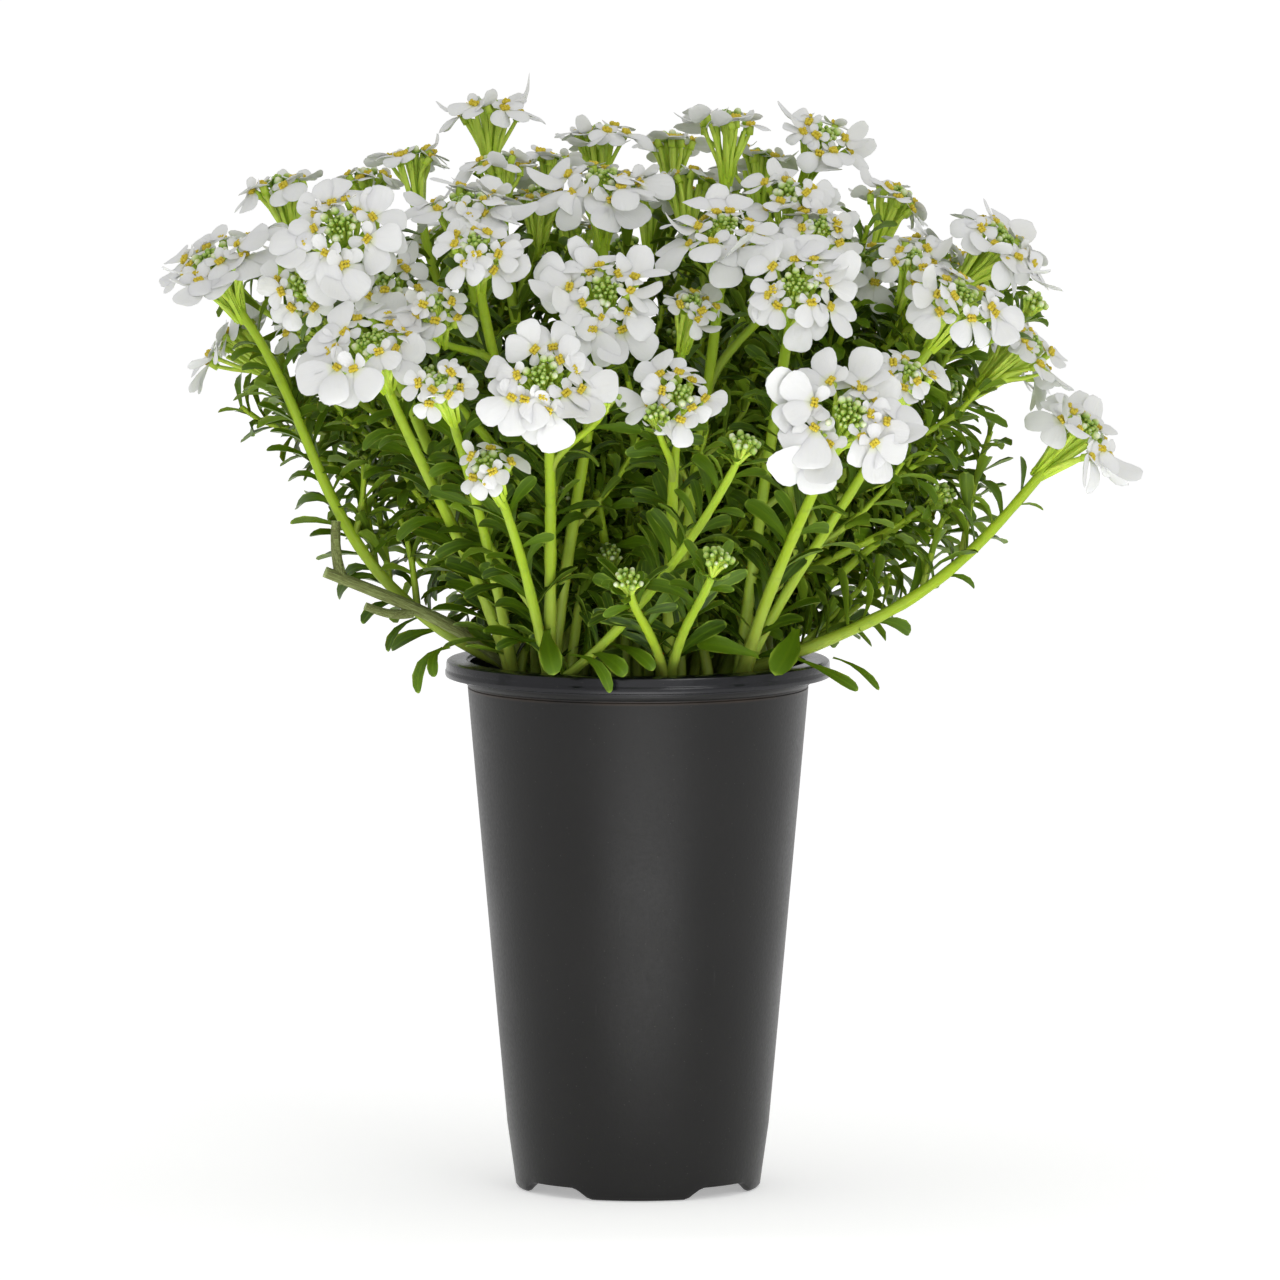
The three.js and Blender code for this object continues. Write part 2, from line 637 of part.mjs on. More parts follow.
// The sprays with their stems worked out, which all take their places before any head or leaf does.
let stemNumber = 0;
const sprays = SPRAYS.map(({ crown, stems }) => ({
  crown,
  stems: stems.map((entry) => {
    const place = new THREE.Vector3(...(entry.head ?? entry.buds));
    const stem = { ...entry, place, normal: facingVector(entry.tip, entry.facing), number: stemNumber };
    stem.curve = stemCurve(crown, stem);
    occupy([...stemBalls(stem.curve), ...tipBalls(stem)], `stem ${stem.number}`);
    stemNumber += 1;
    return stem;
  }),
}));

const numbered = (name, index) => `${name}_${String(index + 1).padStart(2, '0')}`;
const headed = sprays.flatMap(({ stems }) => stems).filter(({ head }) => head);

const plant = new THREE.Group();
plant.add(meshOf('pot', potSolid(), plastic));
plant.add(meshOf('soil', soilSolid(), earth));
headed.forEach((stem, i) => plant.add(meshOf(numbered('head', i), headSolid(stem), white)));
sprays.forEach((spray, i) => plant.add(meshOf(numbered('spray', i), spraySolid(spray), green)));

export default plant;
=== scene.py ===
"""The dressed potted candytuft: a white flowering plant in a tall round nursery pot, round its CAD frame.

Lengths are worked out in millimetres, in the frame's own axes, and go into the meshes in metres. The
pot stands on Z = 0 with its axis on Z, and the front faces -Y.
"""

import math
import random
from collections import namedtuple

import bmesh
import bpy
import numpy as np
from mathutils import Matrix, Vector, noise


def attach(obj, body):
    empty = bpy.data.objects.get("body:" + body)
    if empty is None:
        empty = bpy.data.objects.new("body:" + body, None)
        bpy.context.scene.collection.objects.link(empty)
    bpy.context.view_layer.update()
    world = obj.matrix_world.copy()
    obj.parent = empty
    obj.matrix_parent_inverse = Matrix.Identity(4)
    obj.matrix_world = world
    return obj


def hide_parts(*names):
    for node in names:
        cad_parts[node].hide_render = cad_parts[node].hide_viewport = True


bl_info = {
    "name": "Potted candytuft",
    "version": (1, 0, 0),
    "blender": (4, 5, 0),
    "location": "3D View > Sidebar > Candytuft",
    "description": "Models the flowers, shoots, soil and pot of a candytuft round its CAD frame",
    "category": "Add Mesh",
}

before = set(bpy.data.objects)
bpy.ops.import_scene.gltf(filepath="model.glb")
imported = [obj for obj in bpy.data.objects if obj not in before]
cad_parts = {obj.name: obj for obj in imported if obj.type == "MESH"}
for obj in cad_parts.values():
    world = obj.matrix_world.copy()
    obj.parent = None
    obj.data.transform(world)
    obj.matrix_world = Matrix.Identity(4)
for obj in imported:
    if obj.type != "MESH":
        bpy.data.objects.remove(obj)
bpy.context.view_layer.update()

MM = 0.001
DEGREE = math.pi / 180
UP = np.array([0.0, 0.0, 1.0])
GOLDEN_ANGLE = 2.399963

# Lays a shape that stands 1 high round the origin along +Y, from 0 to 1.
ALONG = Matrix(((1, 0, 0, 0), (0, 0, 1, 0.5), (0, -1, 0, 0), (0, 0, 0, 1)))

# The pot, as in the frame.
POT_HEIGHT = 165.0
RIM_RADIUS = 60.0
WALL = 1.5
WALL_TOP_RADIUS = 53.0
WALL_LOW_RADIUS = 40.8
WALL_LOW_HEIGHT = 20.0
NECK_DROP = 8.5
NECK_HEIGHT = POT_HEIGHT - NECK_DROP
WALL_GROWTH = (WALL_TOP_RADIUS - WALL_LOW_RADIUS) * NECK_DROP / (NECK_HEIGHT - WALL_LOW_HEIGHT)
MOUTH_RADIUS = WALL_TOP_RADIUS + WALL_GROWTH - WALL
FLOOR_HEIGHT = 4.5
FLOOR_TOP = 6.0
FLOOR_EDGE = 30
FLOOR_RINGS = [FLOOR_EDGE, 22, 12, 3]
DRAIN_RADIUS = 3.5
DRAIN_PLACE = 22

# The feet, and the notches between them. A notch ends so many degrees from its middle, and rises over
# the last of them.
FEET = 4
FOOT_INSIDE = 35.5
FOOT_TOP = 3.6
NOTCH_HEIGHT = 3.4
NOTCH_END = 22.5
NOTCH_SLOPE = 10.5

# The pot's profile, each point as a radius and a height: a foot from the edge of the flat floor, the
# outer wall, the ledge and neck, the turned-down rim, and the inner wall down to the floor's edge.
POT_PROFILE = [
    (FLOOR_EDGE, FLOOR_HEIGHT), (34.0, FLOOR_HEIGHT), (35.0, 3.6), (35.7, 0.9), (36.3, 0.15),
    (36.9, 0.0), (37.5, 0.15), (38.1, 0.9), (38.45, NOTCH_HEIGHT), (38.8, 6.0), (39.8, 13.0),
    (WALL_LOW_RADIUS, WALL_LOW_HEIGHT), (43.9, 54.0), (46.95, 88.0), (50.0, 122.0), (52.6, 151.5),
    (52.95, 155.6), (53.0, 156.2), (52.75, 156.5), (52.8, 156.9), (53.35, 157.3), (53.9, 158.0),
    (54.05, 158.7), (54.05, 162.6), (54.4, 163.2), (55.2, 163.4), (57.7, 163.4), (58.3, 163.2),
    (58.5, 162.6), (58.5, 160.1), (58.75, 159.75), (59.3, 159.7), (59.8, 159.9), (RIM_RADIUS, 160.4),
    (RIM_RADIUS, 161.5), (59.75, 161.9), (59.65, 162.4), (59.65, 163.9), (59.45, 164.5), (58.9, 164.9),
    (58.2, POT_HEIGHT), (53.8, POT_HEIGHT), (52.9, 164.8), (MOUTH_RADIUS, 164.2),
    (MOUTH_RADIUS - 0.2, 160.0), (51.0, 150.0), (48.4, 122.0), (42.3, 54.0), (39.3, 20.0), (38.2, 8.0),
    (37.6, 6.4), (36.4, FLOOR_TOP), (FLOOR_EDGE, FLOOR_TOP),
]
RIM_FINISH_FROM = 159.2

# The soil: its side as radii and heights, its top, and the loose crumbs on it.
SOIL_SIDE = [(37.0, 6.5), (38.5, 20.0), (50.2, 153.0)]
SOIL_TOP = 157.0
SOIL_RADIUS = 50.6
SOIL_RINGS = 22
CRUMBS = 620
CRUMBS_REACH = 49.0

# The stems and heads, as in the frame. Florets keep within the plant's depth in front and behind.
GAP = 0.35
CROWN_RADIUS = 4.2
STEM_RADIUS = 2.2
STEM_START = 2.2
STEM_LEAVE = 0.75
STEM_REACH = 0.36
STEM_ARRIVE = 0.8
STEM_SWING = 0.26
STEM_ROWS = 30
FAN_HEIGHT = 15.0
TUFT_HEIGHT = 9.0
PLANT_DEPTH = 124.5
FLORET_MARGIN = 7

# A floret: its petals' turns from its outward direction in degrees, their lengths as shares of the
# floret's size, and their half widths and droop as shares of a petal's length. Two numbers are the ends
# of a draw.
OUTER_TURN = 34
OUTER_LENGTH = (0.9, 1.1)
OUTER_HALF_WIDTH = (0.38, 0.47)
HANGING_PETALS = 0.14
HANGING_DROOP = (0.5, 0.8)
INNER_TURN = 133
INNER_LENGTH = (0.46, 0.6)
INNER_LEAST = 4.2
INNER_HALF_WIDTH = (0.34, 0.42)
ANTHERS = 6
ANTHER_LENGTH = (1.4, 2.0)
ANTHER_WIDTH = 1.6
FLORETS_FOR_RADIUS = 0.62

# Leaves on shoots: their length, their step along the shoot, and the shares of it that they grow on.
STEM_LEAVES_ON = (0.04, 0.9)
SIDE_STEM_LEAF = 16.0
SIDE_STEM_LEAVES_ON = (0.1, 0.8)
SIDE_SHOOT_LEAVES = (16.5, 2.2, (0.15, 1.0))
LEAFY_SHOOT_LEAVES = (17.5, 2.7, (0.2, 1.0))
LEAF_LOWEST = 167
LEAF_CLEARANCE = 1.2
LEAF_TRIES = 5
FORWARD_LIMIT = 0.2

# Tufts of buds, and where on the plant a shoot counts as low, in front, outside, aside or far right.
TUFT_BUDS = 15
TUFT_LEAVES = 6
STEM_TUFT_RADIUS = 3.6
SIDE_TUFT_RADIUS = 3.2
SHOOT_TUFT_RADIUS = 3.0
LOW_OUTLINE = 105
FRONT_FROM = -70
OUTSIDE_FROM = 80
ASIDE_FROM = 65
FAR_RIGHT_FROM = 90

# Seeds of the draws, most of which a piece's own number is added to, and numbers that keep the side
# stems and the leafy shoots' tufts apart from the others.
HEAD_SEED = 500
STEM_SEED = 100
TUFT_SEED = 900
LEAFY_SHOOT_SEED = 2000
LEAFY_RUNS_SEED = 41
CRUMBS_SEED = 7
FIRST_SIDE_STEM = 100
FIRST_LEAFY_TUFT = 60

# Rows of a petal and of a leaf: the place along it and the half width there, both as shares.
PETAL_ROWS = [
    (0.0, 0.2), (0.12, 0.38), (0.28, 0.7), (0.46, 0.92),
    (0.65, 1.0), (0.82, 0.93), (0.94, 0.7), (1.0, 0.4),
]
INNER_ROWS = [(0.0, 0.2), (0.25, 0.6), (0.6, 1.0), (0.88, 0.78), (1.0, 0.3)]
LEAF_ROWS = [
    (0.0, 0.36), (0.14, 0.3), (0.34, 0.5), (0.56, 0.84),
    (0.76, 1.0), (0.9, 0.82), (0.975, 0.48), (1.0, 0.12),
]
PLAIN_LEAF_ROWS = [(0.0, 0.34), (0.34, 0.52), (0.68, 0.96), (0.9, 0.88), (1.0, 0.26)]

# Each spray is a crown's place on the soil and the stems that branch from it. A stem is the place of
# its tip, the radius of its flower head, or none for a tuft of buds, how far its face tips from level,
# the direction that it tips to, and, for a stem that leaves the soil low, the point it first makes for
# and the point from which it makes for its end.
SPRAYS = [
    ((-27, -34), [
        ((-29, -115, 262), 19.5, 62, 265),
        ((-10, -84, 285), 19.5, 55, 272),
        ((-46, -100, 234), 11, 50, 250),
        ((32, -114, 241), None, 35, 300, (-8, -58, 172)),
    ]),
    ((-38, -20), [
        ((-81, -86, 270), 21, 42, 250),
        ((-91, -66, 304), 20.5, 58, 262),
        ((-60, -107, 259), 10.5, 50, 255),
    ]),
    ((9, -40), [
        ((13, -108, 256), 14.5, 55, 275),
        ((26, -48, 302), 21, 28, 275),
        ((24, -110, 206), None, 40, 290),
        ((-3, -104, 199), None, 50, 265),
    ]),
    ((31, -30), [
        ((48, -90, 287), 18.5, 58, 275),
        ((63, -115, 250), 22, 58, 282),
        ((82, -76, 260), 12.5, 30, 300),
    ]),
    ((26, -10), [
        ((138, -28, 239), 18.5, 48, 335, (82, -36, 170), (92, -18, 184)),
        ((99, -60, 282), 18, 42, 310),
    ]),
    ((41, 8), [
        ((112, -18, 297), 19, 42, 335),
        ((122, 0, 263), 15.5, 50, 350),
        ((118, 48, 258), 17, 48, 20),
    ]),
    ((20, 4), [
        ((58, 28, 326), 15, 38, 300),
        ((80, 8, 309), 13, 20, 20),
        ((68, -12, 290), 17, 28, 300),
        ((95, 62, 286), 18, 35, 35),
    ]),
    ((0, -12), [
        ((-11, -14, 315), 20, 18, 270),
        ((28, 20, 332), 14.5, 8, 80),
        ((17, -62, 280), 11, 35, 290),
    ]),
    ((-20, -4), [
        ((-53, -36, 309), 20, 16, 262),
        ((-43, 6, 319), 13.5, 8, 110),
        ((-49, -80, 299), 14, 45, 268),
    ]),
    ((-30, 1), [
        ((-132, -11, 290), 20.5, 30, 215, (-104, -10, 185), (-94, -4, 238)),
        ((-112, 40, 310), 14.5, 16, 150),
        ((-105, 4, 272), 11.5, 50, 200),
    ]),
    ((-16, 20), [
        ((-86, 62, 311), 12.5, 12, 130),
        ((-70, 27, 320), 13.5, 10, 120),
        ((-47, 46, 334), 16, 10, 110),
        ((-13, 58, 325), 14.5, 8, 100),
    ]),
    ((-33, 28), [
        ((-100, 77, 272), 18, 40, 140),
        ((-127, 46, 262), 17, 50, 165),
        ((-67, 107, 252), 17, 50, 122),
    ]),
    ((-4, 41), [
        ((-22, 104, 290), 18, 36, 100),
        ((-1, 117, 248), 18, 54, 90),
        ((11, 79, 321), 12.5, 14, 90),
        ((-60, 92, 292), 17.5, 32, 120),
    ]),
    ((27, 30), [
        ((65, 92, 288), 18, 34, 55),
        ((38, 68, 306), 15.5, 20, 75),
        ((22, 108, 282), 18, 40, 80),
        ((70, 105, 250), 17, 50, 58),
    ]),
]

# The spray that also holds the old branch, cut off short, and that branch's runs: each as four points of
# a curve and its radius. They are the branch, its side stub and the dark foot of the shoot on it.
BRANCH_SPRAY = 9
BRANCH_RUNS = [
    ((-36, -2, 160), (-52, -10, 176), (-76, -13, 185), (-97, -15, 193.5), 2.1),
    ((-70, -12, 180.5), (-75, -14, 179.5), (-79, -15, 180.5), (-84.5, -16, 183), 1.5),
    ((-91, -14, 190), (-93.5, -14, 195), (-94, -13, 202), (-93.5, -12, 209), 1.7),
]

# Single leaves at the pot's rim, each by its root, a point that it bends through, its tip and its width.
RIM_LEAVES = [
    ((-28, -46, 178.5), (-27.5, -60, 174), (-25.5, -66, 166.5), 7.0),
    ((-21, -52, 171), (-13, -62, 169.5), (-8.7, -66, 161), 3.8),
    ((-15.5, -48, 172), (-9, -60, 170.5), (-4, -64, 166), 5.6),
    ((-8.5, -48, 174), (-1, -58, 172.5), (4.7, -62, 167.5), 4.6),
    ((48.5, -40, 178), (46.7, -50, 173), (42, -58, 165.5), 8.8),
    ((37, -44, 170), (28, -50, 173), (18, -52, 174.5), 7.0),
    ((48, -37, 169), (58.8, -46, 165), (67.5, -50, 160), 3.8),
    ((60, -38, 169), (68, -44, 166), (74, -48, 160), 2.4),
    ((-60, -38, 172), (-63, -44, 169), (-62.5, -47, 164), 3.6),
    ((-58, -36, 172), (-66, -41, 168), (-67.5, -43, 158.5), 3.8),
]

# More heads and tufts among the others, whose stalks branch from another stem: the stem's number and how
# far along it, the place, the radius, how far the face tips from level, and the direction of that.
SIDE_HEADS = [
    (21, 0.62, (47, -20, 311), 14, 35, 280),
    (8, 0.64, (56, -30, 301), 13, 40, 285),
    (16, 0.66, (85, -34, 291), 13, 40, 290),
    (24, 0.66, (14, 32, 312), 13, 22, 100),
    (19, 0.7, (38, 44, 318), 13.5, 16, 90),
    (5, 0.66, (-103, -52, 285), 13, 72, 262),
    (5, 0.6, (-76, -58, 286), 13.5, 50, 268),
    (28, 0.7, (-62, -80, 281), 11, 40, 262),
    (34, 0.62, (-28, 30, 318), 13, 12, 100),
    (27, 0.7, (-30, 2, 309), 12, 16, 285),
    (0, 0.62, (-9.6, -107, 255), None, 45, 275),
    (7, 0.66, (5.6, -114, 250), None, 40, 262),
    (16, 0.6, (122, -34, 278), None, 40, 320),
    (43, 0.66, (92, 84, 270), 14, 45, 42),
    (45, 0.66, (46, 105, 268), 14, 46, 68),
    (42, 0.66, (-44, 108, 271), 14, 44, 112),
    (36, 0.66, (-87, 92, 263), 14, 50, 134),
    (36, 0.6, (-112, 60, 286), 13, 42, 150),
    (22, 0.66, (106, 30, 284), 13, 44, 15),
    (41, 0.66, (4, 94, 303), 13, 30, 88),
    (44, 0.7, (54, 88, 303), 12, 30, 60),
]


# Vectors and curves


def unit(vector):
    return vector / np.linalg.norm(vector)


def turned(first, second, angle):
    """A direction in the plane of two others, at an angle from the first towards the second."""
    return math.cos(angle) * first + math.sin(angle) * second


def facing_vector(tip, facing):
    """The way that a face looks when it is tipped from level towards a direction."""
    out = np.array([math.cos(facing * DEGREE), math.sin(facing * DEGREE), 0.0])
    return turned(UP, out, tip * DEGREE)


def face_axes(normal):
    across = unit(np.cross(UP, normal))
    return across, np.cross(normal, across)


def on_curve(curve, shares):
    """Points on a cubic curve, and the unit directions that it runs in there."""
    t = np.asarray(shares, float)[:, None]
    s = 1 - t
    a, b, c, d = curve
    points = s**3 * a + 3 * s * s * t * b + 3 * s * t * t * c + t**3 * d
    runs = s * s * (b - a) + 2 * s * t * (c - b) + t * t * (d - c)
    return points, runs / np.maximum(np.linalg.norm(runs, axis=1), 1e-9)[:, None]


def curve_length(curve):
    points, _ = on_curve(curve, np.linspace(0, 1, 60))
    return np.linalg.norm(np.diff(points, axis=0), axis=1).sum()


def bent(start, leaving, end, arriving):
    """The cubic curve between two points that leaves the one and arrives at the other like this."""
    return np.array([start, start + leaving, end - arriving, end])


def through(root, middle, tip):
    """The cubic curve that passes through three points."""
    root, middle, tip = (np.array(point, float) for point in (root, middle, tip))
    pull = 2 * middle - (root + tip) / 2
    return np.array([root, root + (pull - root) * 2 / 3, tip + (pull - tip) * 2 / 3, tip])


# What stands where

Stem = namedtuple("Stem", "number spray place radius normal curve")


def droops_low(point):
    """Whether a shoot's end is below the plant's spreading lower outline."""
    return point[2] < LOW_OUTLINE + math.hypot(point[0], point[1])


def clears_pot(points, radius):
    """Whether balls at these points keep clear of the pot's rim and wall and of the soil."""
    out = np.hypot(points[:, 0], points[:, 1])
    reach = radius + GAP
    inside = (out < WALL_TOP_RADIUS - WALL - reach) & (points[:, 2] > SOIL_TOP + reach)
    return inside | (points[:, 2] > POT_HEIGHT + reach) | (out > RIM_RADIUS + reach)


def arched(curve):
    """A curve whose second point is raised until it clears the pot's rim."""
    shares = np.linspace(0, 1, 90)
    while True:
        points, _ = on_curve(curve, shares)
        away = np.linalg.norm(points - curve[0], axis=1) > CROWN_RADIUS
        if clears_pot(points[away], STEM_RADIUS).all():
            return curve
        curve[1][2] += 1


def fan_height(radius):
    return FAN_HEIGHT * (0.55 + radius / 44)


def stem_end(place, radius, normal):
    """Where a stem ends: at the foot of its head, or inside its tuft of buds."""
    return place - normal * (fan_height(radius) if radius else TUFT_HEIGHT / 3)


def stem_curve(crown, place, radius, normal, low=None, high=None):
    """A stem's run from its crown to its end."""
    start = np.array([*crown, SOIL_TOP + STEM_START])
    end = stem_end(place, radius, normal)
    span = np.linalg.norm(end - start)
    heading = unit(end - start)
    leave = unit(STEM_LEAVE * heading + (1 - STEM_LEAVE) * UP)
    arrive = unit(STEM_ARRIVE * normal + (1 - STEM_ARRIVE) * heading)
    first = np.array(low, float) if low else start + leave * span * STEM_REACH
    second = np.array(high, float) if high else end - arrive * span * STEM_SWING
    return arched(np.array([start, first, second, end]))


def all_stems():
    stems = []
    for spray, (crown, entries) in enumerate(SPRAYS):
        for place, radius, tip, facing, *route in entries:
            normal = facing_vector(tip, facing)
            place = np.array(place, float)
            curve = stem_curve(crown, place, radius, normal, *route)
            stems.append(Stem(len(stems), spray, place, radius, normal, curve))
    return stems


def side_stems():
    stems = []
    for number, (parent, share, place, radius, tip, facing) in enumerate(SIDE_HEADS):
        normal = facing_vector(tip, facing)
        place = np.array(place, float)
        (start,), (run,) = on_curve(STEMS[parent].curve, [share])
        end = stem_end(place, radius, normal)
        span = np.linalg.norm(end - start)
        curve = bent(start, run * span * 0.35, end, normal * span * 0.3)
        stems.append(Stem(FIRST_SIDE_STEM + number, None, place, radius, normal, curve))
    return stems


STEMS = all_stems()
SIDE_STEMS = side_stems()
HEADS = [stem for stem in STEMS if stem.radius]
SIDE_HEAD_STEMS = [stem for stem in SIDE_STEMS if stem.radius]
ALL_HEADS = HEADS + SIDE_HEAD_STEMS
HEAD_PLACES = np.array([head.place for head in ALL_HEADS])
HEAD_NORMALS = np.array([head.normal for head in ALL_HEADS])
HEAD_RADII = np.array([head.radius for head in ALL_HEADS])


def clears_heads(points):
    """Whether points keep out of the flat round space of every flower head."""
    away = points[:, None, :] - HEAD_PLACES
    height = (away * HEAD_NORMALS).sum(axis=2)
    out = np.linalg.norm(away - height[..., None] * HEAD_NORMALS, axis=2)
    return not ((abs(height + 1) < 5) & (out < HEAD_RADII * 0.95)).any()


# Modelling by hand


def deselect():
    if bpy.context.object and bpy.context.object.mode != "OBJECT":
        bpy.ops.object.mode_set(mode="OBJECT")
    bpy.ops.object.select_all(action="DESELECT")


def select_all():
    bpy.ops.mesh.select_all(action="SELECT")


def pick(test):
    """Selects the vertices of the mesh in edit mode that pass a test on their place."""
    bpy.ops.mesh.select_all(action="DESELECT")
    mesh = bmesh.from_edit_mesh(bpy.context.object.data)
    for vert in mesh.verts:
        vert.select = bool(test(vert.co))
    mesh.select_flush_mode()
    bmesh.update_edit_mesh(bpy.context.object.data)


def start_editing():
    bpy.ops.object.mode_set(mode="EDIT")
    bpy.context.tool_settings.mesh_select_mode = (True, False, False)
    select_all()


def move(x, y, z):
    bpy.ops.transform.translate(value=(x, y, z))


def resize(x, y, z, height=0):
    """Resizes what is selected about a point on the axis."""
    bpy.ops.transform.resize(value=(x, y, z), center_override=(0, 0, height))


def weld():
    select_all()
    bpy.ops.mesh.remove_doubles(threshold=1e-5)
    bpy.ops.mesh.normals_make_consistent(inside=False)


def turned_shell(name, sides, profile):
    """An open shell, drawn up ring by ring through the radii and heights of a profile."""
    deselect()
    radius, height = profile[0]
    bpy.ops.mesh.primitive_circle_add(vertices=sides, radius=radius, location=(0, 0, 0))
    piece = bpy.context.object
    piece.name = piece.data.name = name
    start_editing()
    move(0, 0, height)
    for (radius, height), (wide, high) in zip(profile, profile[1:]):
        bpy.ops.mesh.extrude_edges_move(TRANSFORM_OT_translate={"value": (0, 0, high - height)})
        resize(wide / radius, wide / radius, 1, high)
    return piece


def draw_in():
    """Closes the selected ring to a point at its middle."""
    bpy.ops.mesh.extrude_edges_move()
    bpy.ops.mesh.merge(type="CENTER")


class Shape:
    """A small modelled shape, to be copied many times: its points, its faces and their materials."""

    def __init__(self, kind, under=None):
        bpy.ops.object.mode_set(mode="OBJECT")
        piece = bpy.context.object
        mesh = piece.data
        self.points = np.array([vert.co for vert in mesh.vertices])
        self.faces = [tuple(face.vertices) for face in mesh.polygons]
        below = [under is not None and face.normal.z < 0 for face in mesh.polygons]
        self.kinds = [under if low else kind for low in below]
        bpy.data.objects.remove(piece)
        bpy.data.meshes.remove(mesh)


def blade_shape(kind, under, columns, rows, thickness, fold):
    """A thin closed blade along +Y from 0 to 1. Each row gives its place and its half width as a
    share of the blade's own, and fold raises its edges. Finished rows wait off to one side."""
    deselect()
    last = len(rows) - 1
    aside = 10
    bpy.ops.mesh.primitive_grid_add(x_subdivisions=columns, y_subdivisions=last, size=2)
    start_editing()
    bpy.ops.mesh.region_to_loop()
    bpy.ops.mesh.select_all(action="INVERT")
    move(0, 0, thickness)
    select_all()
    bpy.ops.mesh.duplicate()
    bpy.ops.mesh.flip_normals()
    resize(1, 1, -1)
    weld()
    for column in range(columns + 1):
        x = 2 * column / columns - 1
        pick(lambda place: abs(place.x - x) < 0.01)
        move(0, 0, fold * abs(x) ** 1.5)
    for row, (place, width) in reversed(list(enumerate(rows))):
        y = 2 * row / last - 1
        pick(lambda point: abs(point.y - y) < 0.01)
        resize(width, 1, 0.4 + 0.6 * width)
        move(0, aside + place - y, 0)
    select_all()
    move(0, -aside, 0)
    return Shape(kind, under)


def rod_shape(kind, sides, rows):
    """A closed round rod of radius 1 along +Y from 0 to 1, cut into rows."""
    deselect()
    bpy.ops.mesh.primitive_cylinder_add(vertices=sides, radius=1, depth=1, end_fill_type="TRIFAN")
    start_editing()
    for row in range(1, rows):
        select_all()
        bpy.ops.mesh.bisect(plane_co=(0, 0, row / rows - 0.5), plane_no=(0, 0, 1))
    bpy.ops.object.mode_set(mode="OBJECT")
    bpy.context.object.data.transform(ALONG)
    return Shape(kind)


def drop_shape(kind, sides, rings, point):
    """A closed drop along +Y from 0 to 1 with a radius of half its length, drawn out to a point."""
    deselect()
    bpy.ops.mesh.primitive_uv_sphere_add(segments=sides, ring_count=rings, radius=0.5)
    start_editing()
    pick(lambda place: place.z > 0.1)
    resize(1 - point, 1 - point, 1)
    bpy.ops.object.mode_set(mode="OBJECT")
    bpy.context.object.data.transform(ALONG)
    return Shape(kind)


def lump_shape(kind, seed):
    """An uneven lump about 1 across."""
    deselect()
    bpy.ops.mesh.primitive_ico_sphere_add(subdivisions=1, radius=0.5)
    start_editing()
    bpy.ops.transform.vertex_random(offset=0.16, uniform=1, seed=seed)
    return Shape(kind)


# Copies


class Copies:
    """Copies of modelled shapes, gathered for one mesh. Every point carries a mark: its place across
    and along its own shape, and a number, 0 to about 1, that all of its copy shares."""

    def __init__(self):
        self.points, self.faces, self.kinds, self.marks = [], [], [], []
        self.count = 0

    def add(self, shape, points, chance):
        first = self.count
        self.points.append(points)
        self.faces.extend([tuple(i + first for i in face) for face in shape.faces])
        self.kinds.extend(shape.kinds)
        marks = shape.points.copy()
        marks[:, 2] = chance
        self.marks.append(marks)
        self.count += len(points)

    def laid(self, shape, curve, across, wide, thick, chance, curl=(0.0, 0.0, 0.0)):
        """Adds a shape along a curve. It is so wide and so thick, as one number or one a point. Its
        curl raises its edges, and waves them, by shares of its width."""
        x, along, _ = shape.points.T
        points, runs = on_curve(curve, along)
        side = across - (runs @ across)[:, None] * runs
        side /= np.maximum(np.linalg.norm(side, axis=1), 1e-9)[:, None]
        level = np.cross(side, runs)
        cup, wave, phase = curl
        raised = wide * (cup * x * x + wave * x * np.sin(phase + 5 * along))
        sideways = (x * wide)[:, None]
        upwards = (shape.points[:, 2] * thick + raised)[:, None]
        self.add(shape, points + side * sideways + level * upwards, chance)

    def rod(self, shape, curve, across, radius, chance):
        """Adds a round shape along a curve."""
        self.laid(shape, curve, across, radius, radius, chance)

    def straight(self, shape, foot, way, length, width, chance):
        """Adds a shape from its foot along a direction."""
        end = foot + way * length
        third = (end - foot) / 3
        self.rod(shape, bent(foot, third, end, third), unit(np.cross(way, UP + 0.01)), width, chance)

    def piece(self, name, materials, slot, nodes=()):
        """Makes the copies one object, which rides with the root and stands for CAD nodes."""
        mesh = bpy.data.meshes.new(name)
        mesh.from_pydata((np.concatenate(self.points) * MM).tolist(), [], self.faces)
        for material in materials:
            mesh.materials.append(material)
        mesh.polygons.foreach_set("material_index", self.kinds)
        mark = mesh.attributes.new("mark", "FLOAT_VECTOR", "POINT")
        mark.data.foreach_set("vector", np.concatenate(self.marks).astype(np.float32).ravel())
        piece = bpy.data.objects.new(name, mesh)
        bpy.context.scene.collection.objects.link(piece)
        finished(piece, nodes)


def finished(piece, nodes=(), angle=78):
    deselect()
    bpy.context.view_layer.objects.active = piece
    piece.select_set(True)
    bpy.ops.object.shade_smooth_by_angle(angle=angle * DEGREE)
    piece.select_set(False)
    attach(piece, "root")
    if nodes:
        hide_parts(*nodes)


# Finishes


def opaque(colour):
    """A colour with its alpha, or the socket that it comes from."""
    return colour if isinstance(colour, bpy.types.NodeSocket) else (*colour, 1)


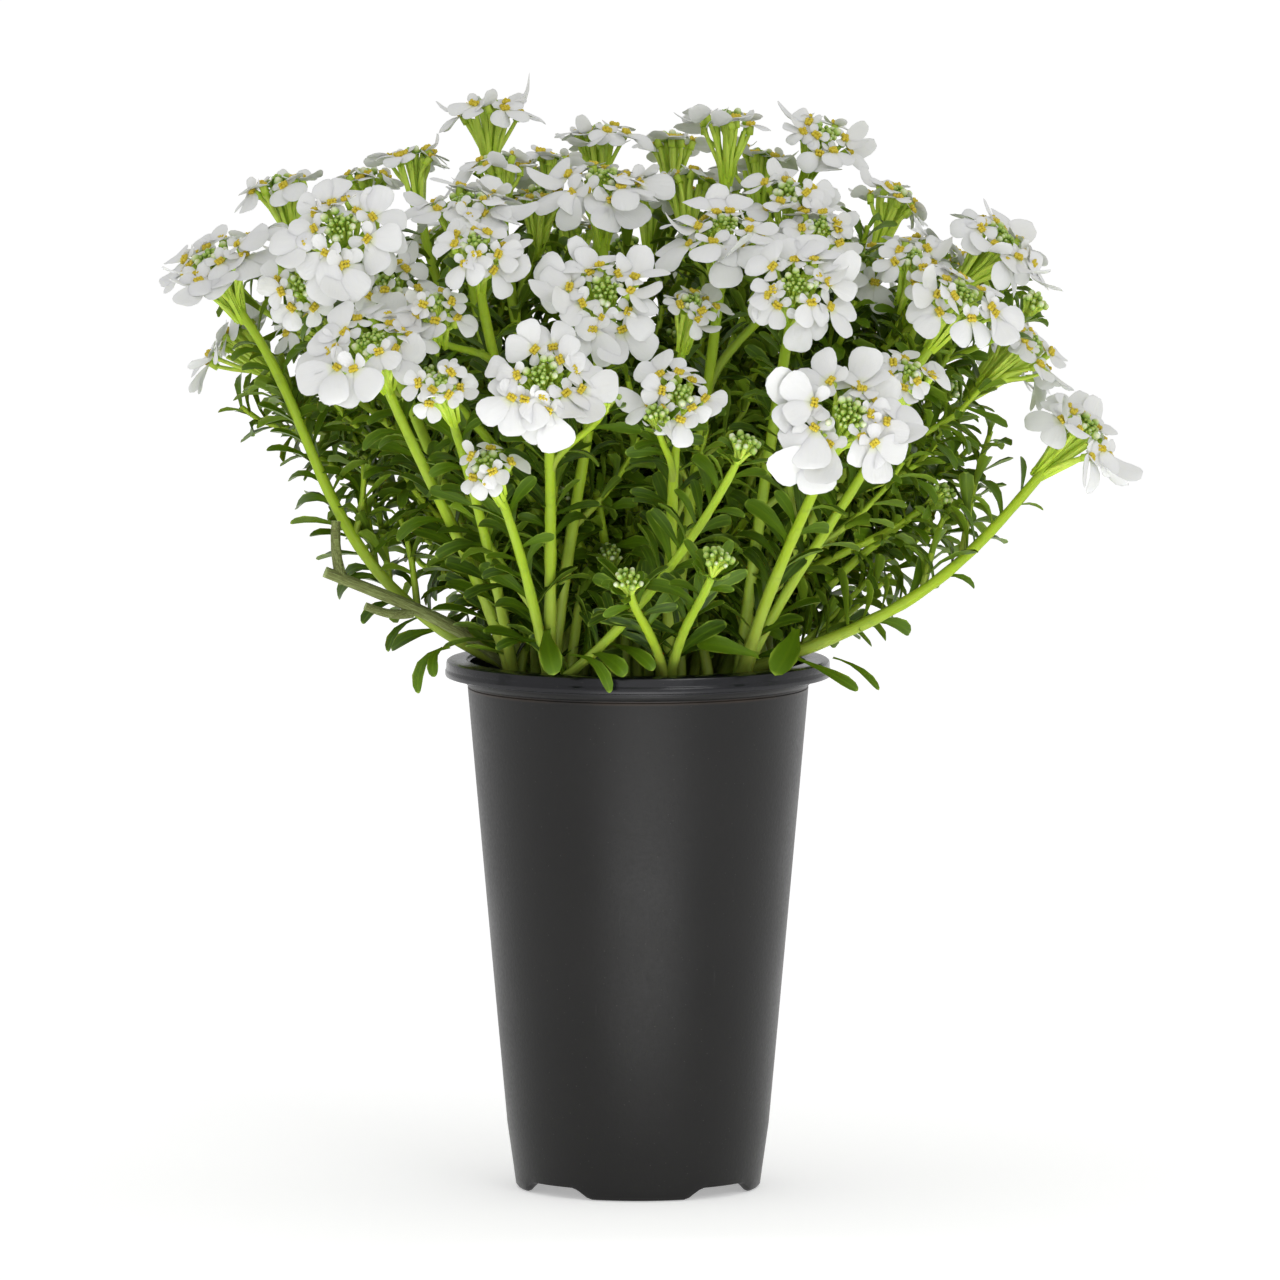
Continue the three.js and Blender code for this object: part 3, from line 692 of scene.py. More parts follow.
class Finish:
    """A material in the making, from nodes."""

    def __init__(self, name, **sockets):
        self.material = bpy.data.materials.new(name)
        self.material.use_nodes = True
        self.tree = self.material.node_tree
        self.shader = self.tree.nodes["Principled BSDF"]
        for socket, value in sockets.items():
            self.shader.inputs[socket.replace("_", " ")].default_value = value

    def node(self, kind, inputs=None, output=0, **settings):
        made = self.tree.nodes.new("ShaderNode" + kind)
        for setting, value in settings.items():
            setattr(made, setting, value)
        for socket, value in (inputs or {}).items():
            if isinstance(value, bpy.types.NodeSocket):
                self.tree.links.new(value, made.inputs[socket])
            else:
                made.inputs[socket].default_value = value
        return made.outputs[output]

    def maths(self, operation, *values):
        return self.node("Math", dict(enumerate(values)), operation=operation)

    def marks(self):
        """The mark's place across, its place along and its copy's own number."""
        mark = self.node("Attribute", attribute_name="mark", output=1)
        split = self.node("SeparateXYZ", {0: mark}).node
        return split.outputs[0], split.outputs[1], split.outputs[2]

    def place(self):
        return self.node("TexCoord", output=3)

    def noise(self, vector, scale, detail=3.0, roughness=0.55):
        inputs = {"Vector": vector, "Scale": scale, "Detail": detail, "Roughness": roughness}
        return self.node("TexNoise", inputs)

    def grain(self, across_scale, along_scale, scale, detail, roughness=0.55):
        """Noise drawn out along each copy's own length, different on every copy."""
        across, along, chance = self.marks()
        x = self.maths("MULTIPLY", across, across_scale)
        y = self.maths("MULTIPLY", along, along_scale)
        z = self.maths("MULTIPLY", chance, 91.0)
        return self.noise(self.node("CombineXYZ", {0: x, 1: y, 2: z}), scale, detail, roughness)

    def ramp(self, value, *stops):
        """A colour ramp with stops of place and colour."""
        made = self.node("ValToRGB", {0: value}).node
        elements = made.color_ramp.elements
        while len(elements) < len(stops):
            elements.new(0.5)
        for element, (place, colour) in zip(elements, stops):
            element.position = place
            element.color = opaque(colour)
        return made.outputs[0]

    def level(self, value, low, high, bottom=0.0, top=1.0):
        inputs = {0: value, 1: low, 2: high, 3: bottom, 4: top}
        return self.node("MapRange", inputs, interpolation_type="SMOOTHSTEP")

    def mix(self, share, first, second):
        inputs = {0: share, 6: opaque(first), 7: opaque(second)}
        return self.node("Mix", inputs, output=2, data_type="RGBA")

    def colour(self, socket):
        self.tree.links.new(socket, self.shader.inputs["Base Color"])

    def rough(self, value, low, high):
        self.tree.links.new(self.level(value, 0.25, 0.75, low, high), self.shader.inputs["Roughness"])

    def bump(self, height, strength, distance):
        inputs = {"Height": height, "Strength": strength, "Distance": distance}
        self.tree.links.new(self.node("Bump", inputs), self.shader.inputs["Normal"])


def petal_finish(colour):
    """White petals, green and cream at the foot, with faint lengthwise grooves whose shade is also painted
    in as grey streaks, and a tint of their own.
    """
    finish = Finish("petal", Subsurface_Weight=0.3, Subsurface_Scale=0.0012, Roughness=0.6,
                    Subsurface_Radius=(1.0, 1.0, 0.8), Specular_IOR_Level=0.3)
    _, along, chance = finish.marks()
    grooves = finish.grain(5.0, 1.1, 1.0, 2.0)
    base = finish.ramp(along, (0.0, (0.55, 0.66, 0.2)), (0.1, (0.74, 0.78, 0.58)), (0.24, colour))
    # Grey streaks along the grooves: painted shade, on top of the grooves' own bump.
    with_painted_groove_shade = finish.mix(finish.level(grooves, 0.35, 0.75, 0.0, 0.1), base, (0.70, 0.72, 0.71))
    finish.colour(finish.mix(finish.level(chance, 0.0, 1.0, 0.0, 0.1), with_painted_groove_shade, (0.76, 0.77, 0.71)))
    finish.bump(grooves, 0.35, 0.0004)
    return finish.material


def anther_finish():
    """Golden pollen, paler green at the foot."""
    finish = Finish("anther", Roughness=0.75)
    grain = finish.noise(finish.place(), 1800.0, 2.0)
    gold = finish.ramp(grain, (0.35, (0.56, 0.42, 0.012)), (0.65, (0.74, 0.62, 0.06)))
    _, along, _ = finish.marks()
    finish.colour(finish.mix(finish.level(along, 0.0, 0.25), (0.55, 0.6, 0.1), gold))
    finish.bump(grain, 0.5, 0.0002)
    return finish.material


def bud_finish():
    """Closed buds are green at the foot and white at the tip, the older ones whiter."""
    finish = Finish("bud", Subsurface_Weight=0.2, Subsurface_Scale=0.001, Roughness=0.5)
    _, along, chance = finish.marks()
    grain = finish.grain(3.0, 3.0, 1.5, 2.0)
    whiter = finish.maths("MULTIPLY_ADD", chance, 0.45, along)
    shade = finish.maths("ADD", whiter, finish.maths("MULTIPLY", grain, 0.12))
    stops = ((0.25, (0.12, 0.24, 0.012)), (0.62, (0.36, 0.52, 0.08)), (0.95, (0.76, 0.80, 0.58)))
    finish.colour(finish.ramp(finish.maths("MULTIPLY", shade, 0.65), *stops))
    finish.bump(grain, 0.3, 0.0003)
    return finish.material


def stalk_finish(name, low, high):
    """Smooth green stalks, duller at the foot, with faint lengthwise lines."""
    finish = Finish(name, Subsurface_Weight=0.12, Subsurface_Scale=0.001, Specular_IOR_Level=0.22)
    _, along, chance = finish.marks()
    grain = finish.grain(4.0, 9.0, 1.0, 3.0)
    spots = finish.noise(finish.place(), 160.0, 3.0, 0.65)
    base = finish.mix(finish.level(along, 0.0, 0.55), low, high)
    lined = finish.mix(finish.level(grain, 0.4, 0.75, 0.0, 0.3), base, (0.48, 0.60, 0.13))
    dull = finish.mix(finish.level(spots, 0.52, 0.75, 0.0, 0.45), lined, (0.17, 0.27, 0.03))
    finish.colour(finish.mix(finish.level(chance, 0, 1, 0, 0.25), dull, (0.25, 0.42, 0.03)))
    finish.rough(grain, 0.36, 0.52)
    finish.bump(grain, 0.25, 0.0006)
    return finish.material


def leaf_finish(name, old, young_and_side_lit, rib, rim):
    """A leaf's face: darker when old and lighter when young, where the copy's number also carries painted
    light that lightens leaves towards the plant's left and right, with a pale midrib, pale edges and a pale
    blunt tip.
    """
    finish = Finish(name, Subsurface_Weight=0.06, Subsurface_Scale=0.0008, Specular_IOR_Level=0.19)
    across, along, chance = finish.marks()
    out = finish.maths("ABSOLUTE", across)
    grain = finish.grain(2.4, 3.0, 1.4, 4.0)
    patches = finish.noise(finish.place(), 70.0)
    # The copy's number carries painted side light as well as the leaf's age.
    age_and_side_light = finish.maths("ADD", chance, finish.maths("MULTIPLY", patches, 0.5))
    base = finish.mix(finish.level(age_and_side_light, 0.3, 1.15), old, young_and_side_lit)
    mottled = finish.mix(finish.level(grain, 0.35, 0.7, 0.0, 0.3), base, young_and_side_lit)
    ribbed = finish.mix(finish.level(out, 0.0, 0.2, 0.3, 0.0), mottled, rib)
    foot = finish.mix(finish.level(along, 0.0, 0.3, 0.75, 0.0), ribbed, rib)
    edged = finish.mix(finish.level(out, 0.7, 0.98, 0.0, 0.65), foot, rim)
    finish.colour(finish.mix(finish.level(along, 0.955, 1.0, 0.0, 0.7), edged, rim))
    finish.rough(grain, 0.27, 0.45)
    finish.bump(grain, 0.3, 0.0006)
    return finish.material


def wood_finish():
    """Rough grey-green bark, with the pale wood of a cut at its end."""
    finish = Finish("bark", Roughness=0.8)
    grain = finish.grain(3.0, 10.0, 2.0, 5.0, 0.65)
    _, along, _ = finish.marks()
    stops = ((0.3, (0.10, 0.09, 0.03)), (0.5, (0.22, 0.26, 0.07)), (0.7, (0.36, 0.43, 0.16)))
    bark = finish.ramp(grain, *stops)
    finish.colour(finish.mix(finish.level(along, 0.985, 0.999), bark, (0.42, 0.50, 0.2)))
    finish.bump(grain, 0.8, 0.0012)
    return finish.material


def soil_finish():
    """Dark coarse earth with paler grains."""
    finish = Finish("potting_soil", Roughness=0.95)
    coarse = finish.noise(finish.place(), 260.0, 6.0, 0.7)
    fine = finish.noise(finish.place(), 1400.0)
    stops = ((0.3, (0.006, 0.004, 0.003)), (0.55, (0.022, 0.014, 0.009)), (0.8, (0.07, 0.045, 0.028)))
    earth = finish.ramp(coarse, *stops)
    finish.colour(finish.mix(finish.level(fine, 0.6, 0.8, 0.0, 0.5), earth, (0.10, 0.07, 0.05)))
    finish.bump(coarse, 1.0, 0.003)
    return finish.material


def plastic_finish(name, colour, specular, rough):
    """Satin black plastic: fine grain, faint upright scuffs, dust, and a brown line at the neck."""
    finish = Finish(name, Specular_IOR_Level=specular)
    place = finish.place()
    height = finish.node("SeparateXYZ", {0: place}, output=2)
    grain = finish.noise(place, 900.0, 2.0)
    cloud = finish.noise(place, 26.0, 4.0)
    upright = finish.node("Mapping", {"Vector": place, "Scale": (1.0, 1.0, 0.09)})
    scuffs = finish.noise(upright, 420.0, 4.0, 0.7)
    specks = finish.node("TexVoronoi", {"Vector": place, "Scale": 420.0}, feature="F1")
    shade = finish.mix(finish.level(cloud, 0.35, 0.7), colour, [1.35 * part for part in colour])
    scuffed = finish.mix(finish.level(scuffs, 0.66, 0.8, 0.0, 0.25), shade, (0.04, 0.039, 0.037))
    dusty = finish.mix(finish.level(specks, 0.1, 0.02, 0.0, 0.3), scuffed, (0.1, 0.09, 0.08))
    line = finish.maths("ABSOLUTE", finish.maths("SUBTRACT", height, 0.1562))
    stain = finish.maths("MULTIPLY", finish.level(line, 0.0009, 0.0002), finish.level(cloud, 0.3, 0.6))
    finish.colour(finish.mix(finish.maths("MULTIPLY", stain, 0.4), dusty, (0.06, 0.04, 0.025)))
    finish.rough(finish.mix(0.5, cloud, grain), *rough)
    finish.bump(grain, 0.12, 0.0003)
    return finish.material


# The kinds are the places of the finishes in a head's list and in a spray's.
PETAL_KIND, ANTHER_KIND, BUD_KIND, PEDICEL_KIND = range(4)
STEM_KIND, LEAF_KIND, UNDER_KIND, TUFT_KIND, TWIG_KIND, BARK_KIND = range(6)


def pedicel_finish():
    return stalk_finish("pedicel", (0.46, 0.65, 0.025), (0.62, 0.79, 0.1))


def flower_finishes():
    petal = petal_finish(tuple(bpy.context.scene.candytuft_plant.petal))
    return [petal, anther_finish(), bud_finish(), pedicel_finish()]


def shoot_finishes():
    over = ((0.019, 0.045, 0.003), (0.088, 0.168, 0.005), (0.15, 0.26, 0.01), (0.28, 0.42, 0.04))
    under = ((0.065, 0.115, 0.010), (0.14, 0.23, 0.012), (0.20, 0.31, 0.02), (0.29, 0.42, 0.05))
    return [
        stalk_finish("stem", (0.27, 0.34, 0.045), (0.35, 0.50, 0.018)),
        leaf_finish("leaf_top", *over),
        leaf_finish("leaf_under", *under),
        bud_finish(),
        pedicel_finish(),
        wood_finish(),
    ]


# The plant's modelled shapes


def plant_shapes():
    return {
        "petal": blade_shape(PETAL_KIND, None, 4, PETAL_ROWS, 0.3, 0.0),
        "inner": blade_shape(PETAL_KIND, None, 2, INNER_ROWS, 0.3, 0.0),
        "anther": drop_shape(ANTHER_KIND, 4, 3, 0.0),
        "bud": drop_shape(BUD_KIND, 6, 5, 0.12),
        "calyx": rod_shape(PEDICEL_KIND, 6, 2),
        "pedicel": rod_shape(PEDICEL_KIND, 5, 3),
        "stem": rod_shape(STEM_KIND, 10, STEM_ROWS),
        "shoot": rod_shape(STEM_KIND, 6, 8),
        "twiglet": rod_shape(STEM_KIND, 5, 4),
        "stalk": rod_shape(PEDICEL_KIND, 4, 2),
        "leaf": blade_shape(LEAF_KIND, UNDER_KIND, 2, LEAF_ROWS, 0.45, 0.5),
        "plain_leaf": blade_shape(LEAF_KIND, UNDER_KIND, 2, PLAIN_LEAF_ROWS, 0.45, 0.5),
        "tuft_bud": drop_shape(TUFT_KIND, 6, 5, 0.12),
        "twig": rod_shape(TWIG_KIND, 5, 3),
        "branch": rod_shape(BARK_KIND, 10, 14),
    }


# Flowers


def kept_in(centre, out, length):
    """A petal's length, cut down where its tip would stand out past the plant's front or back."""
    forward = out[1] * math.copysign(1, centre[1])
    if forward < 0.05:
        return length
    return length * min(1.0, max(0.7, (PLANT_DEPTH - abs(centre[1])) / (forward * length)))


def add_floret(copies, shapes, centre, face, outward, size, chance):
    """One open flower: two large petals outwards, two small ones inwards, and the gold middle."""
    sideways = np.cross(face, outward)
    for turn in (-OUTER_TURN, OUTER_TURN):
        out = turned(outward, sideways, (turn + chance.uniform(-9, 9)) * DEGREE)
        length = kept_in(centre, out, size * chance.uniform(*OUTER_LENGTH))
        droop = length * chance.uniform(-0.2, 0.2)
        if chance.random() < HANGING_PETALS:
            droop = -length * chance.uniform(*HANGING_DROOP)
        rise = length * chance.uniform(0.0, 0.07)
        middle = centre + out * length * 0.55 + face * rise
        curve = through(centre + out * 0.3, middle, centre + out * length - face * droop)
        twist = turned(np.cross(face, out), face, chance.uniform(-0.3, 0.3))
        half = length * chance.uniform(*OUTER_HALF_WIDTH)
        curl = (chance.uniform(-0.14, 0.14), chance.uniform(0.0, 0.16), chance.uniform(0, 6))
        copies.laid(shapes["petal"], curve, -twist, half, half * 0.2, chance.random(), curl)
    for turn in (-INNER_TURN, INNER_TURN):
        out = turned(outward, sideways, (turn + chance.uniform(-14, 14)) * DEGREE)
        length = max(INNER_LEAST, size * chance.uniform(*INNER_LENGTH))
        lift = length * chance.uniform(-0.05, 0.45)
        middle = centre + out * length * 0.55 + face * lift * 0.3
        curve = through(centre + out * 0.2, middle, centre + out * length + face * lift)
        half = length * chance.uniform(*INNER_HALF_WIDTH)
        curl = (chance.uniform(-0.3, 0.1), 0.05, chance.uniform(0, 6))
        across = -np.cross(face, out)
        copies.laid(shapes["inner"], curve, across, half, half * 0.3, chance.random(), curl)
    for number in range(ANTHERS):
        aside = sideways * (number % 3 - 1) * 0.8 + outward * (number // 3 - 0.5) * 0.9
        way = unit(face + 0.2 * aside + outward * chance.uniform(-0.15, 0.15))
        foot = centre + aside - face * 0.2
        length = chance.uniform(*ANTHER_LENGTH)
        copies.straight(shapes["anther"], foot, way, length, ANTHER_WIDTH, chance.random())


def add_head(copies, shapes, head):
    """One flower head: open florets round a tight dome of buds, larger and lower towards its edge and
    fuller on one side, all on their stalks."""
    chance = random.Random(HEAD_SEED + head.number)
    radius, normal, place = head.radius, head.normal, head.place
    axes = face_axes(normal)
    foot = place - normal * fan_height(radius)
    start, fuller = chance.uniform(0, 6), chance.uniform(0, 6)
    count = round(radius * FLORETS_FOR_RADIUS)
    deepest = PLANT_DEPTH - FLORET_MARGIN
    for number in range(count):
        share = math.sqrt((number + 0.5) / count)
        turn = start + number * GOLDEN_ANGLE + chance.uniform(-0.25, 0.25)
        growth = (1 + 0.12 * math.cos(turn - fuller)) * chance.uniform(0.92, 1.08)
        radial = turned(*axes, turn)
        lean = (2 + 22 * share + chance.uniform(-20, 26)) * DEGREE
        aside = turned(radial, np.cross(normal, radial), chance.uniform(-32, 32) * DEGREE)
        outward = turned(aside, normal, -lean)
        face = turned(normal, aside, lean)
        face = turned(face, np.cross(face, outward), chance.uniform(-24, 24) * DEGREE)
        height = 1.8 - 3.8 * share * share + chance.uniform(-1.6, 1.4)
        centre = place + radial * radius * (0.3 + 0.31 * share) * growth + normal * height
        centre[1] = min(deepest, max(-deepest, centre[1]))
        large = radius * (0.38 + 0.2 * share) * growth
        add_floret(copies, shapes, centre, face, outward, large, chance)
        base = foot - normal * chance.uniform(0, 9) + radial * 1.2
        under = centre - face * 2.2
        curve = bent(base, normal * 5, under, face * 3)
        copies.rod(shapes["pedicel"], curve, axes[0], 0.7, chance.random())
        copies.straight(shapes["calyx"], centre - face * 2.9, face, 2.8, 1.2, 0.8)
    for number in range(count):
        radial = turned(*axes, start + number * GOLDEN_ANGLE)
        base = foot - normal * chance.uniform(2, 9) + radial * 1.6
        out = radial * radius * 0.4 * math.sqrt((number + 1) / count)
        top = place + out - normal * chance.uniform(1, 4)
        curve = bent(base, normal * 4, top, normal * 4)
        copies.rod(shapes["stalk"], curve, axes[0], 0.8, chance.random())
    count = round(radius) + 5
    for number in range(count):
        share = math.sqrt((number + 0.5) / count)
        radial = turned(*axes, number * GOLDEN_ANGLE + chance.uniform(-0.3, 0.3))
        way = turned(normal, radial, share * 0.8)
        ripe = share > 0.7 and chance.random() < 0.4
        size = chance.uniform(2.2, 2.9) if ripe else chance.uniform(1.2, 1.9)
        away = radius * 0.19 * share * chance.uniform(0.84, 1.16) + 0.8 * ripe
        rise = normal * (1.6 - 1.6 * share * share + chance.uniform(-0.7, 0.5))
        centre = place + radial * away + rise
        pale = chance.uniform(0.8, 1.0) if ripe else chance.uniform(0.0, 0.6) * share
        copies.straight(shapes["bud"], centre, way, size, size * 1.1, pale)
        base = foot - normal * chance.uniform(-1, 6) + radial * 1.0
        curve = [base, base + normal * 5, centre - way * 4, centre + way * 0.3]
        copies.rod(shapes["stalk"], curve, axes[0], 0.55, chance.random())


# Shoots and leaves


def add_leaf(copies, shape, root, bend, tip, across, half, chance):
    """A leaf whose edges stand up a little along its length."""
    copies.laid(shape, through(root, bend, tip), across, half, half * 0.4, chance, (0.3, 0.1, 9 * chance))


def stem_axes(curve, run):
    """Two directions across a stem, the first of them in the plane of its bend."""
    start, end = on_curve(curve, [0.0, 1.0])[1]
    side = unit(np.cross(run, unit(np.cross(start, end))))
    return side, np.cross(side, run)


def add_leaves(copies, shape, curve, number, size, step, shares, chance, most_forward=1.0):
    """The leaves of one stem, one every few millimetres, each turned on by the golden angle. Each
    leaves its stem at a slope and bends outwards, and hangs a little at its tip. A leaf that would
    meet the pot or a head is tried again further round. The last number says how far a leaf may
    stand out to the plant's front or back, where it would hide its stem."""
    length = curve_length(curve)
    place = 1
    while place * step < length * shares[1]:
        share = place * step / length
        place += 1
        if share < shares[0]:
            continue
        (root,), (run,) = on_curve(curve, [share])
        side, level = stem_axes(curve, run)
        for attempt in range(LEAF_TRIES):
            turn = place * GOLDEN_ANGLE + number + 1.3 * attempt + chance.uniform(-0.2, 0.2)
            out = turned(side, level, turn)
            if out[1] * math.copysign(1, root[1]) > most_forward:
                continue
            long = size * chance.uniform(0.72, 1.15) * (1.1 - 0.35 * share)
            slope = chance.uniform(14, 52) * DEGREE
            fall = chance.uniform(4, 40) * DEGREE
            bend = root + unit(turned(out, run, slope) + 0.2 * UP) * long * 0.52
            late = unit(turned(out, run, slope - fall) + chance.uniform(-0.15, 0.25) * UP)
            tip = bend + late * long * 0.5
            spine, _ = on_curve(through(root, bend, tip), [0.4, 0.7, 1.0])
            high = spine[:, 2].min() > LEAF_LOWEST
            if high and clears_pot(spine, LEAF_CLEARANCE).all() and clears_heads(spine):
                across = np.cross(run, out) + chance.uniform(-0.9, 0.9) * run
                half = long * chance.uniform(0.115, 0.15)
                # How young a leaf looks: younger up its shoot, and lighter towards the plant's left and
                # right, which is painted side light.
                young_and_side_lit = 0.75 * share + 0.3 * min(1.0, abs(root[0]) / 100) + chance.uniform(-0.2, 0.3)
                young_and_side_lit = min(1.0, max(0.0, young_and_side_lit))
                add_leaf(copies, shape, root, bend, tip, -unit(across), half, young_and_side_lit)
                break


def add_tuft(copies, shapes, place, normal, radius, number):
    """A tuft of closed buds on a fan of short stalks, with small leaves round its foot."""
    chance = random.Random(TUFT_SEED + number)
    axes = face_axes(normal)
    foot = place - normal * TUFT_HEIGHT * 0.85
    for bud in range(TUFT_BUDS):
        share = math.sqrt((bud + 0.5) / TUFT_BUDS)
        radial = turned(*axes, bud * GOLDEN_ANGLE)
        way = turned(normal, radial, share * 0.7)
        size = 1.6 + 1.5 * share * chance.random()
        height = 1.8 - 2.6 * share * share + chance.uniform(-0.7, 0.7)
        centre = place + radial * radius * share + normal * height
        copies.straight(shapes["tuft_bud"], centre, way, size, size, chance.uniform(0.1, 1.1) * share)
        curve = [foot, foot + normal * 2.5 + radial * 1.5, centre - way * 3, centre + way * 0.3]
        copies.rod(shapes["twig"], curve, axes[0], 0.62, chance.random())
    for leaf in range(TUFT_LEAVES):
        radial = turned(*axes, leaf * GOLDEN_ANGLE + number)
        root = place - normal * chance.uniform(6, 9)
        bend = root + radial * radius * 1.25 + normal * 4
        tip = root + radial * radius * chance.uniform(1.5, 2.4) + normal * chance.uniform(4, 8)
        add_leaf(copies, shapes["leaf"], root, bend, tip, -np.cross(normal, radial), 1.6, 0.95)


def stands_aside(stem):
    return abs(stem.place[0]) > ASIDE_FROM


def side_shoots_of(stem, usual):
    """How many side shoots a stem has: few in front, where stems show, and more at the sides."""
    if stem.radius is None:
        return 0
    if stem.place[1] < FRONT_FROM:
        return max(0, usual - 2)
    outside = math.hypot(stem.place[0], stem.place[1]) > OUTSIDE_FROM
    return usual + 2 * outside + 3 * stands_aside(stem)


def add_side_shoots(copies, shapes, stem, count, chance):
    """Short leafy shoots that branch from a stem's lower half and end in a tuft of young leaves."""
    highest = 0.78 if stands_aside(stem) else 0.62
    for number in range(count):
        (start,), (run,) = on_curve(stem.curve, [chance.uniform(0.1, highest)])
        side, level = stem_axes(stem.curve, run)
        out = turned(side, level, number * GOLDEN_ANGLE + stem.number)
        if out[1] * start[1] > 0:
            out = -out
        length = chance.uniform(20, 46)
        end = start + unit(run + 0.8 * out + 0.2 * UP) * length
        arriving = unit(run + 0.3 * out + 0.6 * UP) * length * 0.3
        curve = bent(start, unit(run + out) * length * 0.35, end, arriving)
        points, _ = on_curve(curve, [0.2, 0.5, 0.8, 1.0])
        if droops_low(end) or not clears_pot(points, 2.0).all() or not clears_heads(points):
            continue
        wide = 1.25 - 0.4 * shapes["twiglet"].points[:, 1]
        copies.rod(shapes["twiglet"], curve, side, wide, chance.random())
        add_leaves(copies, shapes["plain_leaf"], curve, number, *SIDE_SHOOT_LEAVES, chance)


def add_stem(copies, shapes, stem, chance):
    """The stem itself, a little uneven from row to row, and a little wider at its foot."""
    along = shapes["stem"].points[:, 1]
    rows = np.round(along * STEM_ROWS).astype(int)
    uneven = np.array([1 + chance.uniform(-0.06, 0.07) for _ in range(STEM_ROWS + 1)])
    swell = 1 + 0.25 * np.exp(-along * 18)
    wide = STEM_RADIUS * (0.92 - 0.24 * along) * uneven[rows] * swell
    if stem.spray is None:
        wide *= 0.75
    if stem.radius is None:
        wide *= 0.8
    elif stem.radius < 13:
        wide *= 0.88
    across = stem_axes(stem.curve, unit(stem.curve[3] - stem.curve[0]))[0]
    copies.rod(shapes["stem"], stem.curve, across, wide, chance.random())


def add_crown(copies, shapes, place):
    """A spray's short woody foot in the soil."""
    start = np.array([*place, SOIL_TOP - 6])
    along = shapes["branch"].points[:, 1]
    wide = CROWN_RADIUS * (0.95 - 0.3 * along**3)
    curve = [start, start + UP * 3, start + UP * 7, start + UP * 10.5]
    copies.rod(shapes["branch"], curve, np.array([1.0, 0, 0]), wide, 0.4)


def add_branch(copies, shapes):
    """The old bare branch low on the left, cut off at its end."""
    for *points, radius in BRANCH_RUNS:
        wide = radius * (1.1 - 0.25 * shapes["branch"].points[:, 1])
        copies.rod(shapes["branch"], np.array(points, float), UP, wide, 0.7)


def leafy_shoots(count):
    """The runs of the flowerless shoots that fill the plant's inside, each towards the space between
    two flower heads. Those that would hide the stems in front end lower or are left out."""
    chance = random.Random(LEAFY_RUNS_SEED)
    middle = np.array([0.0, 0.0, SOIL_TOP])
    runs = []
    for _ in range(count):
        first, second = chance.sample(HEADS, 2)
        mixed = first.place + (second.place - first.place) * chance.uniform(0.0, 0.4)
        hides_stems = mixed[1] < 0 and abs(mixed[0]) < 60
        end = middle + (mixed - middle) * chance.uniform(0.3, 0.66 if hides_stems else 0.9)
        out = np.array([end[0], end[1], 0.0])
        start = middle + unit(out) * chance.uniform(8, 44) - UP * 2
        low_at_rim = start[1] < -26 and end[2] < 225
        in_front = end[1] < -38 and abs(end[0]) < 60
        if low_at_rim or in_front or droops_low(end):
            continue
        height = end[2] - start[2]
        runs.append(arched(bent(start, UP * height * 0.4, end, unit(out + 60 * UP) * height * 0.3)))
    return runs


# The add-on


class PotSettings(bpy.types.PropertyGroup):
    colour: bpy.props.FloatVectorProperty(
        name="Plastic", description="Colour of the pot's plastic",
        subtype="COLOR", size=3, min=0, max=1, default=(0.0052, 0.0049, 0.0047),
    )
    sides: bpy.props.IntProperty(
        name="Sides", description="Faces round the pot", default=144, min=36, max=288
    )


class PlantSettings(bpy.types.PropertyGroup):
    petal: bpy.props.FloatVectorProperty(
        name="Petals", description="Colour of the open petals",
        subtype="COLOR", size=3, min=0, max=1, default=(0.795, 0.80, 0.79),
    )
    leaf_length: bpy.props.FloatProperty(
        name="Leaf length", description="Length of a full-grown leaf",
        unit="LENGTH", default=0.018, min=0.01, max=0.05,
    )
    leaf_step: bpy.props.FloatProperty(
        name="Leaf step", description="Distance along a stem from one leaf to the next",
        unit="LENGTH", default=0.0033, min=0.003, max=0.02,
    )
    side_shoots: bpy.props.IntProperty(
        name="Side shoots", description="Short leafy shoots that branch from each stem",
        default=3, min=0, max=8,
    )
    shoots: bpy.props.IntProperty(
        name="Leafy shoots", description="Shoots without flowers that fill the plant's inside",
        default=235, min=0, max=260,
    )


class StageSettings(bpy.types.PropertyGroup):
    distance: bpy.props.FloatProperty(
        name="Camera distance", description="Distance from the camera to the pot's axis",
        unit="LENGTH", default=4.2, min=1, max=10,
    )
    elevation: bpy.props.FloatProperty(
        name="Camera elevation", description="How far the camera looks down",
        subtype="ANGLE", default=5.6 * DEGREE, min=0, max=1.5,
    )


